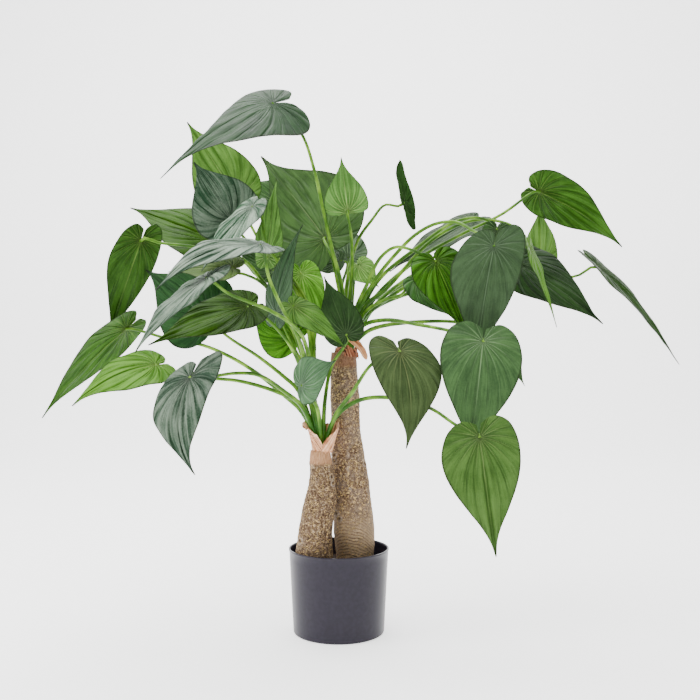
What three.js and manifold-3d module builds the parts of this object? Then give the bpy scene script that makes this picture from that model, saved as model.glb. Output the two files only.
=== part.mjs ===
// Potted chinese taro: a short and a tall bark-covered trunk in a tapered grow pot, each with a
// crown of long petioles and heart-shaped leaves. Millimetres, +Z up, +X to the right and +Y away
// from the viewer, with the origin at the centre of the pot's base.

import * as THREE from 'three';
import { mergeVertices } from 'three/addons/utils/BufferGeometryUtils.js';
import Module from 'manifold-3d';

const wasm = await Module();
wasm.setup();

// Gap between neighbouring pieces
const GAP = 0.3;

// Pot
const POT_HEIGHT = 150;
const POT_RIM_RADIUS = 90;
const POT_BASE_RADIUS = 81.5;
const POT_WALL = 1.8;
const POT_FLOOR = 2.5;
const POT_BEAD_HEIGHT = 3.5;
const POT_BEAD = 0.8;
const POT_FOOT_BEVEL = 2;
const POT_RIM_BEVEL = 0.6;
const POT_SIDES = 40;

// Soil, and the holes that the trunks stand in
const SOIL_TOP = 120;
const SOIL_MOUND = 1;
const ROOT_DEPTH = 60;
const HOLE_OVERRUN = 20;

// Trunks: the centre line's height and place, and the radius there, from the soil up. The ripples
// of the bark are folds around the trunk that turn from ring to ring.
const TRUNK_SIDES = 16;
const BARK_RIPPLES = [
  { folds: 5, turn: 2.1, high: 0.9 },
  { folds: 3, turn: -1.3, high: 0.63 },
];
const SHORT_TRUNK = [
  { z: 120, x: -43, y: -22, r: 32 },
  { z: 146, x: -43.5, y: -22, r: 32.5 },
  { z: 160, x: -43, y: -22, r: 30.5 },
  { z: 185, x: -42, y: -22, r: 28.5 },
  { z: 212, x: -38, y: -22, r: 27.5 },
  { z: 238, x: -34, y: -22, r: 25.7 },
  { z: 265, x: -31, y: -22, r: 22.3 },
  { z: 284, x: -31, y: -22, r: 20.4 },
  { z: 301, x: -32.5, y: -22, r: 18.6 },
  { z: 327, x: -32.5, y: -22, r: 15.6 },
];
const TALL_TRUNK = [
  { z: 120, x: 30, y: 15, r: 32.5 },
  { z: 136, x: 30, y: 15, r: 33.6 },
  { z: 151, x: 29.5, y: 15, r: 35 },
  { z: 178, x: 27.3, y: 15, r: 36.3 },
  { z: 205, x: 26.4, y: 15, r: 35.4 },
  { z: 232, x: 24.5, y: 15, r: 33.6 },
  { z: 260, x: 22.7, y: 15, r: 31.8 },
  { z: 290, x: 20.5, y: 15, r: 30 },
  { z: 323, x: 16.4, y: 15, r: 27.2 },
  { z: 360, x: 12.7, y: 15, r: 25.4 },
  { z: 414, x: 11.8, y: 15, r: 26 },
  { z: 441, x: 10, y: 15, r: 24.5 },
  { z: 470, x: 9.1, y: 15, r: 23.6 },
  { z: 501, x: 9.1, y: 15, r: 21.8 },
];

// Crowns: the bundle of petiole bases on top of each trunk
const CROWNS = {
  tall: { x: 13, y: 15, z: 501, r: 16, top: 46 },
  short: { x: -30, y: -22, z: 327, r: 13, top: 46 },
};
const CROWN_SIDES = 12;
const CORE_TIP = 2;

// The core's radius and height in parts of the crown's
const CORE = [
  [1, 0],
  [0.95, 0.26],
  [0.7, 0.6],
  [0.3, 1],
];

// Petioles: where they leave the crown, and the neck that they bend at before they meet the blade
const PETIOLE_SIDES = 5;
const PETIOLE_STEP = 45;
const LEAST_STEPS = 4;
const MOST_STEPS = 9;
const PETIOLE_FOOT_OUT = 0.45;
const PETIOLE_FOOT_UP = 8;
const NECK_DROP = 11;
const NECK_BACK = 9;
const PETIOLE_BASE_RADIUS = 4.4;
const PETIOLE_END_RADIUS = 2.3;
const PETIOLE_END_GAP = 0.45;

// Dry papery sheaths: from and to are degrees around the crown, 0 at +X and -90 towards the
// viewer; foot is out from the crown's radius. The cup's fade, dent and open are powers: how fast
// it rises from its front edges, how narrow the dip at its back is and how late it flares. Teeth
// are waves of the ring's ragged edge, and arch is how far over the flap bends.
const SHEATH_THICK = 0.9;
const CUP = {
  from: -70, to: 275, columns: 16, rows: 4,
  foot: 1.2, low: 12, rise: 50, dip: 0.35, flare: 9, flapFlare: 14.5, flapTurn: -20,
  fade: 0.7, dent: 6, open: 1.4,
};
const REMNANT = {
  from: 10, to: 285, columns: 14, rows: 2, foot: 1.6, flare: 2, high: 12,
  teeth: [{ waves: 23, high: 3 }, { waves: 41, high: 2.1 }],
};
const FLAP = {
  from: -65, to: 0, columns: 4, rows: 7, foot: 2.4, reach: 20, point: 4, rise: 19, drop: 9, arch: 1.1,
};

// Leaf blades. Fold and curl are degrees that the halves rise and their margins droop by; waves
// run along the margins
const BLADE_THICK = 0.9;
const LEAST_BOW = 1;
const FOLD = 6;
const CURL = 12;
const WAVE = 2;
const WAVES_ALONG = 2.2;
const WAVE_SHIFT = 0.3;
const SMALL_STEP = 0.01;

// The heart shape, row by row from the notch to the tip. Each row is one side vein: where it
// leaves the midrib, and where it meets the margin, along the midrib in parts of the leaf's length
// and out from it in parts of its half width.
const ROWS = [
  { rib: 0, along: -0.11, out: 0.1 },
  { rib: 0.015, along: -0.165, out: 0.42 },
  { rib: 0.04, along: -0.09, out: 0.8 },
  { rib: 0.09, along: 0.07, out: 0.99 },
  { rib: 0.18, along: 0.25, out: 0.97 },
  { rib: 0.3, along: 0.43, out: 0.8 },
  { rib: 0.46, along: 0.6, out: 0.52 },
  { rib: 0.63, along: 0.75, out: 0.25 },
  { rib: 0.81, along: 0.88, out: 0.08 },
  { rib: 1, along: 1, out: 0.012 },
];
const HALF_COLUMNS = 3;
const PLAIN_HALF_COLUMNS = 2;

// How far a side vein sags back from the straight line to the margin, in parts of the length
const VEIN_SAG = 0.05;

// Leaves. The joint is where the petiole meets the blade, face is the way its top side looks, and
// wide is its greatest width. Bow, fold, curl and twist are degrees: of the midrib's arch, of the
// halves up from it, of the margins down again and of the tip against the joint. Sweep is how far
// the midrib bulges sideways, lobe and lean are how far the two lobes at the notch reach back and
// how much more one does, tone names its colour, and plain leaves have fewer facets. The stem is
// the petiole's way from the crown.
const LEAVES = [
  {
    name: '01', crown: 'tall', tone: 'grey', joint: [-114, -70, 930], tip: [-286, -170, 781],
    face: [-0.2, -0.78, 0.6], wide: 155, fold: -5, curl: 14, bow: 36, twist: 35, lobe: 1, lean: -0.08,
    stem: [[6, 2, 613], [-12, -8, 684], [-28, -20, 754], [-43, -35, 822], [-66, -42, 886]],
  },
  {
    name: '02', crown: 'tall', tone: 'light', joint: [-199, 110, 801], tip: [-293, 110, 943],
    face: [-0.2, -0.8, 0.4], wide: 125, bow: 10,
    stem: [[-39, 50, 598], [-98, 90, 661], [-159, 130, 723]],
  },
  {
    name: '03', crown: 'short', tone: 'dark', joint: [-194, 10, 740], tip: [-261, 0, 843],
    face: [0.1, -0.9, 0.4], wide: 132, fold: 10, bow: 15,
    stem: [[-45, -28, 434], [-49, -27, 514], [-64, -12, 594], [-101, 8, 653], [-156, 26, 692]],
  },
  {
    name: '04', crown: 'short', tone: 'olive', joint: [-235, 70, 712], tip: [-395, 80, 773],
    face: [-0.1, -0.6, 0.8], wide: 151, bow: 15, sweep: -4,
    stem: [[-52, 10, 424], [-73, 50, 505], [-122, 84, 600], [-190, 96, 680]],
  },
  {
    name: '05', crown: 'short', tone: 'grey', joint: [-152, -45, 755], tip: [-239, -54, 642],
    face: [-0.7, -0.5, 0.5], wide: 112, fold: 4, bow: 15, twist: -10, plain: true,
    stem: [[-49, -35, 435], [-51, -28, 523], [-69, -12, 594], [-103, -12, 652], [-128, -36, 695]],
  },
  {
    name: '06', crown: 'short', tone: 'grey', joint: [-120, -224, 668], tip: [-264, -306, 593],
    face: [-0.35, -0.56, 0.8], wide: 105, fold: 5, bow: 52, twist: -10, plain: true,
    stem: [[-52, -38, 452], [-69, -110, 530], [-90, -166, 573], [-109, -202, 623]],
  },
  {
    name: '07', crown: 'short', tone: 'grey', joint: [-195, -280, 612], tip: [-274, -390, 502],
    face: [-0.45, -0.32, 0.75], wide: 103, fold: 5, bow: 15, twist: -5, plain: true,
    stem: [[-54, -70, 505], [-69, -134, 541], [-106, -198, 567], [-168, -254, 593]],
  },
  {
    name: '08', crown: 'short', tone: 'under', joint: [-352, -20, 699], tip: [-418, 10, 519],
    face: [-0.5, 0.8, 0.1], wide: 86, bow: 10, lean: 0.06,
    stem: [[-47, -30, 417], [-68, -28, 505], [-98, -16, 576], [-140, 12, 632], [-173, 16, 669],
      [-222, 4, 685], [-269, -12, 691], [-319, -16, 696]],
  },
  {
    name: '09', crown: 'short', tone: 'teal', joint: [-236, -10, 562], tip: [-345, -10, 648],
    face: [-0.2, -0.8, 0.5], wide: 150, bow: 10,
    stem: [[-72, -30, 434], [-94, -35, 456], [-143, -30, 494], [-194, -15, 526]],
  },
  {
    name: '10', crown: 'short', tone: 'under', joint: [-381, -10, 543], tip: [-521, -40, 386],
    face: [-0.45, 0.45, 0.78], wide: 100, bow: 10, sweep: -4,
    stem: [[-65, -25, 395], [-95, -30, 424], [-143, -30, 463], [-192, -28, 493], [-243, -22, 514],
      [-297, -15, 523], [-347, -10, 537]],
  },
  {
    name: '11', crown: 'short', tone: 'light', joint: [-307, -110, 480], tip: [-431, -160, 414],
    face: [0, -0.5, 0.85], wide: 116, bow: 40,
    stem: [[-68, -45, 410], [-101, -60, 430], [-167, -90, 452], [-224, -106, 458], [-278, -114, 465]],
  },
  {
    name: '12', crown: 'short', tone: 'mid', joint: [-150, -134, 576], tip: [-301, -190, 513],
    face: [-0.1, -0.65, 0.75], wide: 113, bow: 8,
    stem: [[-57, -50, 444], [-81, -106, 513], [-116, -130, 555]],
  },
  {
    name: '13', crown: 'short', tone: 'bright', joint: [-80, -8, 528], tip: [-165, 14, 579],
    face: [-0.1, -0.95, 0.35], wide: 106, fold: 14, plain: true,
    stem: [[-47, -28, 417], [-58, -20, 478]],
  },
  {
    name: '14', crown: 'short', tone: 'grey', joint: [-222, -260, 463], tip: [-211, -280, 319],
    face: [-0.5, -0.85, 0.1], wide: 111, bow: 15, sweep: 24, lobe: 1.2, lean: -0.08,
    stem: [[-62, -50, 404], [-91, -90, 434], [-130, -150, 464], [-163, -190, 468], [-194, -234, 465]],
  },
  {
    name: '15', crown: 'short', tone: 'teal', joint: [-109, -46, 571], tip: [-63, -30, 726],
    face: [-0.72, -0.68, 0], wide: 72, bow: 30, plain: true,
    stem: [[-50, -40, 426], [-68, -42, 487], [-90, -43, 533]],
  },
  {
    name: '16', crown: 'short', tone: 'mid', joint: [-129, 0, 674], tip: [-112, 3, 815],
    face: [-0.6, -0.8, 0], wide: 62, bow: 5, plain: true,
    stem: [[-44, -28, 434], [-44, -26, 514], [-58, -16, 594], [-91, -4, 641]],
  },
  {
    name: '17', crown: 'tall', tone: 'under', joint: [-27, 84, 717], tip: [-162, 220, 901],
    face: [0, 0.9, 0.3], wide: 203, bow: 10, lobe: 1.15,
    stem: [[4, 24, 596], [-2, 30, 624], [-13, 39, 676]],
  },
  {
    name: '18', crown: 'tall', tone: 'dark', joint: [-131, 140, 661], tip: [-202, 130, 699],
    face: [-0.1, -0.8, 0.6], wide: 68, plain: true,
    stem: [[-39, 50, 594], [-87, 132, 631]],
  },
  {
    name: '19', crown: 'tall', tone: 'under', joint: [16, -5, 754], tip: [4, -5, 851],
    face: [0, 0.95, 0.2], wide: 78, bow: 8, lobe: 0.35, plain: true,
    stem: [[20, 5, 595], [24, 0, 663], [22, -3, 712]],
  },
  {
    name: '20', crown: 'tall', tone: 'dark', joint: [16, 170, 690], tip: [10, 260, 778],
    face: [0, -0.8, 0.6], wide: 78, plain: true,
    stem: [[18, 35, 597], [18, 100, 639]],
  },
  {
    name: '21', crown: 'tall', tone: 'dark', joint: [1, 132, 678], tip: [-57, 156, 661],
    face: [-0.1, -0.8, 0.6], wide: 53, plain: true,
    stem: [[11, 38, 597], [5, 104, 629]],
  },
  {
    name: '22', crown: 'tall', tone: 'light', joint: [36, 25, 660], tip: [73, 30, 620],
    face: [0, -0.8, 0.5], wide: 55, plain: true,
    stem: [[24, 20, 596], [27, 22, 636]],
  },
  {
    name: '23', crown: 'tall', tone: 'teal', joint: [122, 80, 784], tip: [129, 340, 910],
    face: [0.95, -0.1, 0.3], wide: 121, bow: 10, fold: 10, plain: true,
    stem: [[13, 30, 615], [35, 60, 710], [61, 70, 749], [86, 80, 779]],
  },
  {
    name: '24', crown: 'tall', tone: 'dark', joint: [255, 140, 755], tip: [96, 100, 654],
    face: [0.2, -0.25, 0.95], wide: 113, bow: 10, plain: true,
    stem: [[50, 60, 589], [116, 100, 625], [195, 130, 695], [243, 140, 728]],
  },
  {
    name: '25', crown: 'tall', tone: 'bright', joint: [168, -70, 657], tip: [216, -90, 532],
    face: [0.1, -0.9, 0.3], wide: 105, bow: 15,
    stem: [[29, 0, 573], [50, -20, 621], [73, -35, 667], [99, -45, 685], [128, -54, 679]],
  },
  {
    name: '26', crown: 'tall', tone: 'dark', joint: [141, -15, 630], tip: [212, -20, 555],
    face: [0, -0.6, 0.8], wide: 100, bow: 15, plain: true,
    stem: [[47, 0, 572], [83, -8, 595], [113, -12, 605]],
  },
  {
    name: '27', crown: 'tall', tone: 'bluish', joint: [260, -120, 677], tip: [232, -94, 478],
    face: [0, -1, 0.1], wide: 117, bow: 15, sweep: 3, lean: -0.1,
    stem: [[29, 0, 563], [65, -12, 630], [100, -22, 674], [135, -32, 708], [169, -42, 726],
      [203, -54, 728], [232, -82, 708]],
  },
  {
    name: '28', crown: 'tall', tone: 'under', joint: [360, -10, 788], tip: [495, -50, 685],
    face: [0.25, 0.6, 0.75], wide: 104, bow: 22, sweep: 3, fold: 8,
    stem: [[34, 5, 550], [74, 10, 610], [147, 12, 672], [219, 8, 713], [294, 2, 750]],
  },
  {
    name: '29', crown: 'tall', tone: 'dark', joint: [235, -166, 518], tip: [209, -190, 330],
    face: [0, -1, 0.1], wide: 129, bow: 15,
    stem: [[42, -5, 548], [82, -28, 558], [140, -74, 548], [186, -126, 537]],
  },
  {
    name: '30', crown: 'tall', tone: 'light', joint: [381, 80, 671], tip: [393, 150, 790],
    face: [-0.1, -0.8, 0.5], wide: 63, plain: true,
    stem: [[76, 50, 598], [193, 110, 670], [322, 136, 669]],
  },
  {
    name: '31', crown: 'tall', tone: 'dark', joint: [321, 0, 663], tip: [467, -30, 551],
    face: [0.1, -0.65, 0.75], wide: 150, bow: 12,
    stem: [[42, 15, 559], [111, 22, 614], [203, 25, 666], [275, 18, 683]],
  },
  {
    name: '32', crown: 'tall', tone: 'light', joint: [332, -62, 682], tip: [374, -82, 544],
    face: [0.85, -0.42, 0.35], wide: 60, plain: true,
    stem: [[49, 2, 586], [83, 0, 613], [173, 0, 707], [243, -14, 737], [300, -28, 728],
      [321, -44, 708]],
  },
  {
    name: '33', crown: 'tall', tone: 'under', joint: [488, 80, 662], tip: [623, 30, 478],
    face: [0.72, -0.45, 0.5], wide: 96, fold: 10, bow: 15, lobe: 1.2,
    stem: [[49, 25, 569], [152, 80, 618], [310, 120, 644], [423, 108, 643], [457, 92, 648]],
  },
  {
    name: '34', crown: 'short', tone: 'light', joint: [215, -270, 373], tip: [236, -290, 199],
    face: [0.1, -1, 0.15], wide: 120, bow: 15, sweep: 2, lean: -0.03,
    stem: [[-6, -40, 387], [29, -60, 415], [76, -94, 425], [146, -146, 412], [189, -226, 386]],
  },
  {
    name: '35', crown: 'tall', tone: 'dark', joint: [287, -70, 508], tip: [321, -70, 443],
    face: [0, -1, 0.1], wide: 36, plain: true,
    stem: [[56, -5, 541], [144, -25, 555], [229, -50, 549]],
  },
  {
    name: '36', crown: 'short', tone: 'olive', joint: [101, -160, 502], tip: [110, -182, 347],
    face: [0.1, -1, 0.1], wide: 108, bow: 15, sweep: -12, lean: 0.05,
    stem: [[-5, -45, 391], [23, -80, 431], [53, -122, 478], [78, -140, 497]],
  },
  {
    name: '37', crown: 'short', tone: 'dark', joint: [13, -45, 533], tip: [-26, -40, 635],
    face: [0, -0.95, 0.3], wide: 74, bow: 10, plain: true,
    stem: [[-24, -35, 417], [-12, -22, 478], [8, -26, 509]],
  },
  {
    name: '38', crown: 'tall', tone: 'mid', joint: [-70, 38, 645], tip: [-42, 30, 505],
    face: [0, -0.9, 0.3], wide: 76, bow: 10, plain: true,
    stem: [[-4, 30, 589], [-34, 64, 617]],
  },
  {
    name: '39', crown: 'short', tone: 'olive', joint: [-75, -100, 579], tip: [15, -134, 507],
    face: [0.35, -0.75, 0.55], wide: 61, bow: 8, plain: true,
    stem: [[-43, -46, 425], [-59, -74, 488], [-72, -86, 543]],
  },
  {
    name: '40', crown: 'short', tone: 'teal', joint: [-57, -180, 449], tip: [-2, -220, 489],
    face: [-0.1, -0.9, 0.5], wide: 84, bow: 5, plain: true,
    stem: [[-35, -60, 398], [-45, -126, 427]],
  },
  {
    name: '42', crown: 'short', tone: 'olive', joint: [-187, -42, 649], tip: [-302, -28, 643],
    face: [0, -0.5, 0.9], wide: 96, bow: 10, plain: true,
    stem: [[-49, -32, 443], [-70, -30, 523], [-103, -12, 585], [-142, 4, 628], [-170, -24, 640]],
  },
  {
    name: '43', crown: 'tall', tone: 'dark', joint: [-130, 252, 811], tip: [-204, 264, 858],
    face: [0, -0.9, 0.3], wide: 91, plain: true,
    stem: [[-45, 100, 604], [-106, 204, 683]],
  },
  {
    name: '44', crown: 'tall', tone: 'dark', joint: [277, -45, 715], tip: [265, -47, 627],
    face: [0.1, -0.9, 0.3], wide: 56, plain: true,
    stem: [[65, 8, 623], [146, -5, 693], [207, -20, 733], [249, -33, 738]],
  },
];

const DEGREE = Math.PI / 180;

// Middle surface of a blade at a place along the midrib, 0 at the joint and 1 at the tip, and out
// from it, -1 to 1 of the half width
function bladePoint(leaf, along, out) {
  const joint = new THREE.Vector3(...leaf.joint);
  const chord = new THREE.Vector3(...leaf.tip).sub(joint);
  const length = chord.length();
  const ahead = chord.normalize();
  const face = new THREE.Vector3(...leaf.face);
  const up = face.addScaledVector(ahead, -face.dot(ahead)).normalize();
  const side = new THREE.Vector3().crossVectors(ahead, up);
  const bow = (leaf.bow ?? LEAST_BOW) * DEGREE;
  const radius = length / (2 * Math.sin(bow / 2));
  const turn = bow * (along - 0.5);
  const tangent = ahead.clone().multiplyScalar(Math.cos(turn)).addScaledVector(up, -Math.sin(turn));
  const lift = ahead.clone().multiplyScalar(Math.sin(turn)).addScaledVector(up, Math.cos(turn));
  const point = joint
    .addScaledVector(ahead, length / 2 + radius * Math.sin(turn))
    .addScaledVector(up, radius * (Math.cos(turn) - Math.cos(bow / 2)))
    .addScaledVector(side, (leaf.sweep ?? 0) * 4 * along * (1 - along));
  const twist = (leaf.twist ?? 0) * DEGREE * along;
  const across = side.applyAxisAngle(tangent, twist);
  const above = lift.applyAxisAngle(tangent, twist);
  const half = leaf.wide / 2;
  const fold = (leaf.fold ?? FOLD) * DEGREE;
  const curl = (leaf.curl ?? CURL) * DEGREE;
  const spread = Math.abs(out) * half;
  const slope = fold - (curl * Math.abs(out)) / 2;
  const phase = WAVES_ALONG * along + WAVE_SHIFT * Math.sign(out);
  const wave = WAVE * out * out * Math.sin(2 * Math.PI * phase);
  point.addScaledVector(across, Math.sign(out) * spread * Math.cos(slope));
  point.addScaledVector(above, spread * Math.sin(slope) + wave);
  return point;
}

// Way its top side looks at a place
function bladeNormal(leaf, along, out) {
  const step = SMALL_STEP;
  const inner = out > 0 ? out - step : out;
  const onward = bladePoint(leaf, along + step, inner).sub(bladePoint(leaf, along - step, inner));
  const outward = bladePoint(leaf, along, inner + step).sub(bladePoint(leaf, along, inner));
  return outward.cross(onward).normalize();
}

// Closed solid between two layers of one grid of points, split alike on both faces
function sheetSolid(rows, columns, at) {
  const spots = [];
  const faces = [];
  const wide = columns + 1;
  const layer = (rows + 1) * wide;
  for (const side of [1, -1]) {
    for (let i = 0; i <= rows; i += 1) {
      for (let j = 0; j <= columns; j += 1) {
        spots.push(...at(i, j, side).toArray());
      }
    }
  }
  const quad = (a, b, c, d) => faces.push(a, b, c, b, d, c);
  for (let i = 0; i < rows; i += 1) {
    for (let j = 0; j < columns; j += 1) {
      const a = i * wide + j;
      const b = a + 1;
      const c = a + wide;
      const d = c + 1;
      if (2 * j < columns) {
        faces.push(a, b, c, b, d, c);
        faces.push(layer + a, layer + c, layer + b, layer + b, layer + c, layer + d);
      } else {
        faces.push(a, b, d, a, d, c);
        faces.push(layer + a, layer + d, layer + b, layer + a, layer + c, layer + d);
      }
    }
  }
  for (let j = 0; j < columns; j += 1) {
    quad(j + 1, j, layer + j + 1, layer + j);
    const last = rows * wide + j;
    quad(last, last + 1, layer + last, layer + last + 1);
  }
  for (let i = 0; i < rows; i += 1) {
    const left = i * wide;
    const right = left + columns;
    quad(left, left + wide, layer + left, layer + left + wide);
    quad(right + wide, right, layer + right + wide, layer + right);
  }
  const shape = new THREE.BufferGeometry();
  shape.setAttribute('position', new THREE.Float32BufferAttribute(spots, 3));
  shape.setIndex(faces);
  return shape;
}

// A blade's solid, its rows along the side veins
function bladeShape(leaf) {
  const last = ROWS.length - 1;
  const half = leaf.plain ? PLAIN_HALF_COLUMNS : HALF_COLUMNS;
  return sheetSolid(last, 2 * half, (i, j, side) => {
    const row = ROWS[i];
    const share = (j - half) / half;
    const away = Math.abs(share);
    const sag = VEIN_SAG * (1 - i / last) * Math.sin(Math.PI * away);
    const back = row.along < 0 ? row.along * (leaf.lobe ?? 1) : row.along;
    const lean = (leaf.lean ?? 0) * row.out * share * Math.max(0, 1 - 2 * Math.max(0, row.along));
    const along = row.rib + (back - row.rib) * away - sag * (leaf.lobe ?? 1) - lean;
    const out = row.out * share;
    const normal = bladeNormal(leaf, along, out);
    return bladePoint(leaf, along, out).addScaledVector(normal, (side * BLADE_THICK) / 2);
  });
}

// Round bar along a curve, with closed ends and a radius that changes along it
function bar(curve, sides, steps, radiusAt) {
  const straight = new THREE.CylinderGeometry(1, 1, 1, sides, steps);
  straight.deleteAttribute('normal');
  straight.deleteAttribute('uv');
  const shape = mergeVertices(straight, 1e-5);
  const frames = curve.computeFrenetFrames(steps);
  const spots = shape.getAttribute('position');
  for (let i = 0; i < spots.count; i += 1) {
    const step = Math.round((spots.getY(i) + 0.5) * steps);
    const angle = Math.atan2(spots.getX(i), spots.getZ(i));
    const radius = radiusAt(step / steps, angle);
    const spot = curve.getPointAt(step / steps);
    spot.addScaledVector(frames.binormals[step], spots.getX(i) * radius);
    spot.addScaledVector(frames.normals[step], spots.getZ(i) * radius);
    spots.setXYZ(i, spot.x, spot.y, spot.z);
  }
  return shape;
}

function solidOf(shape) {
  const bare = shape.clone();
  bare.deleteAttribute('normal');
  bare.deleteAttribute('uv');
  const merged = mergeVertices(bare, 1e-4);
  return new wasm.Manifold(new wasm.Mesh({
    numProp: 3,
    vertProperties: new Float32Array(merged.getAttribute('position').array),
    triVerts: new Uint32Array(merged.getIndex().array),
  }));
}

function shapeOf(solid) {
  const mesh = solid.getMesh();
  const shape = new THREE.BufferGeometry();
  shape.setAttribute('position', new THREE.BufferAttribute(new Float32Array(mesh.vertProperties), 3));
  shape.setIndex(new THREE.BufferAttribute(new Uint32Array(mesh.triVerts), 1));
  return shape;
}

// Ring by ring solid of a trunk: straight down in its hole below the soil, bark above it
function trunkShape(trunk) {
  const foot = trunk[0];
  const rings = [{ ...foot, z: foot.z - ROOT_DEPTH }, ...trunk];
  const spots = [];
  const faces = [];
  rings.forEach((ring, level) => {
    for (let j = 0; j < TRUNK_SIDES; j += 1) {
      const angle = (2 * Math.PI * j) / TRUNK_SIDES;
      const ripple = (sum, one) => sum + one.high * Math.sin(one.folds * angle + one.turn * level);
      const radius = ring.r + (level < 2 ? 0 : BARK_RIPPLES.reduce(ripple, 0));
      spots.push(ring.x + radius * Math.cos(angle), ring.y + radius * Math.sin(angle), ring.z);
    }
  });
  for (let i = 0; i < rings.length - 1; i += 1) {
    for (let j = 0; j < TRUNK_SIDES; j += 1) {
      const a = i * TRUNK_SIDES + j;
      const b = i * TRUNK_SIDES + ((j + 1) % TRUNK_SIDES);
      faces.push(a, b, a + TRUNK_SIDES, b, b + TRUNK_SIDES, a + TRUNK_SIDES);
    }
  }
  const top = (rings.length - 1) * TRUNK_SIDES;
  const low = spots.length / 3;
  spots.push(rings[0].x, rings[0].y, rings[0].z);
  const last = rings[rings.length - 1];
  spots.push(last.x, last.y, last.z);
  for (let j = 0; j < TRUNK_SIDES; j += 1) {
    const next = (j + 1) % TRUNK_SIDES;
    faces.push(low, next, j);
    faces.push(low + 1, top + j, top + next);
  }
  const shape = new THREE.BufferGeometry();
  shape.setAttribute('position', new THREE.Float32BufferAttribute(spots, 3));
  shape.setIndex(faces);
  return shape;
}

// Profiles turned about the pot's axis
function turned(profile, sides) {
  const points = profile.map(([r, z]) => new THREE.Vector2(r, z));
  return new THREE.LatheGeometry(points, sides).rotateX(Math.PI / 2);
}

const potRadius = (z) => POT_BASE_RADIUS + ((POT_RIM_RADIUS - POT_BEAD - POT_BASE_RADIUS) * z) / POT_HEIGHT;

function potShape() {
  return turned([
    [0, 0],
    [POT_BASE_RADIUS - POT_FOOT_BEVEL, 0],
    [POT_BASE_RADIUS, POT_FOOT_BEVEL],
    [potRadius(POT_HEIGHT - POT_BEAD_HEIGHT), POT_HEIGHT - POT_BEAD_HEIGHT],
    [POT_RIM_RADIUS, POT_HEIGHT - POT_BEAD_HEIGHT + POT_BEAD],
    [POT_RIM_RADIUS, POT_HEIGHT - POT_RIM_BEVEL],
    [POT_RIM_RADIUS - POT_RIM_BEVEL, POT_HEIGHT],
    [potRadius(POT_HEIGHT) - POT_WALL, POT_HEIGHT],
    [potRadius(POT_FLOOR) - POT_WALL, POT_FLOOR],
    [0, POT_FLOOR],
  ], POT_SIDES);
}

function soilShape() {
  const low = POT_FLOOR + GAP;
  const fill = turned([
    [0, low],
    [potRadius(low) - POT_WALL - GAP, low],
    [potRadius(SOIL_TOP) - POT_WALL - GAP, SOIL_TOP],
    [0, SOIL_TOP + SOIL_MOUND],
  ], POT_SIDES);
  let solid = solidOf(fill);
  for (const trunk of [SHORT_TRUNK, TALL_TRUNK]) {
    const foot = trunk[0];
    const radius = foot.r + GAP;
    const depth = ROOT_DEPTH + GAP + HOLE_OVERRUN;
    const hole = new THREE.CylinderGeometry(radius, radius, depth, TRUNK_SIDES);
    hole.rotateX(Math.PI / 2);
    hole.rotateZ(Math.PI / 2);
    hole.translate(foot.x, foot.y, foot.z + HOLE_OVERRUN - depth / 2);
    solid = solid.subtract(solidOf(hole));
  }
  return shapeOf(solid);
}

// A petiole's way from its crown, over a neck, to just under the blade at its joint
function petioleCurve(leaf) {
  const crown = CROWNS[leaf.crown];
  const normal = bladeNormal(leaf, 2 * SMALL_STEP, 0);
  const joint = new THREE.Vector3(...leaf.joint);
  const back = joint.clone().sub(new THREE.Vector3(...leaf.tip)).normalize();
  const vias = leaf.stem.map((p) => new THREE.Vector3(...p));
  const neck = joint.clone().addScaledVector(normal, -NECK_DROP).addScaledVector(back, NECK_BACK);
  const end = joint.clone();
  const arrive = end.clone().sub(neck).normalize();
  const tilt = Math.sqrt(Math.max(0, 1 - arrive.dot(normal) ** 2));
  const droop = Math.max(0, -Math.sin((leaf.fold ?? FOLD) * DEGREE));
  const clear = BLADE_THICK / 2 + PETIOLE_END_GAP + PETIOLE_END_RADIUS * (tilt + droop);
  end.addScaledVector(normal, -clear);
  const first = vias[0];
  const turn = Math.atan2(first.y - crown.y, first.x - crown.x);
  const base = new THREE.Vector3(
    crown.x + PETIOLE_FOOT_OUT * crown.r * Math.cos(turn),
    crown.y + PETIOLE_FOOT_OUT * crown.r * Math.sin(turn),
    crown.z + PETIOLE_FOOT_UP,
  );
  return new THREE.CatmullRomCurve3([base, ...vias, neck, end], false, 'centripetal');
}

// All petioles of one crown with the bundle that they grow from, as one body
function crownShape(name) {
  const crown = CROWNS[name];
  const core = turned([
    [0, 0],
    ...CORE.map(([out, up]) => [out * crown.r, up * crown.top]),
    [0, crown.top + CORE_TIP],
  ], CROWN_SIDES).translate(crown.x, crown.y, crown.z + GAP);
  const parts = [solidOf(core)];
  for (const leaf of LEAVES.filter((one) => one.crown === name)) {
    const curve = petioleCurve(leaf);
    const slim = PETIOLE_BASE_RADIUS - PETIOLE_END_RADIUS;
    const wanted = Math.round(curve.getLength() / PETIOLE_STEP);
    const steps = THREE.MathUtils.clamp(wanted, LEAST_STEPS, MOST_STEPS);
    const shape = bar(curve, PETIOLE_SIDES, steps, (s) => PETIOLE_BASE_RADIUS - slim * s);
    parts.push(solidOf(shape));
  }
  return shapeOf(wasm.Manifold.union(parts));
}

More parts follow.
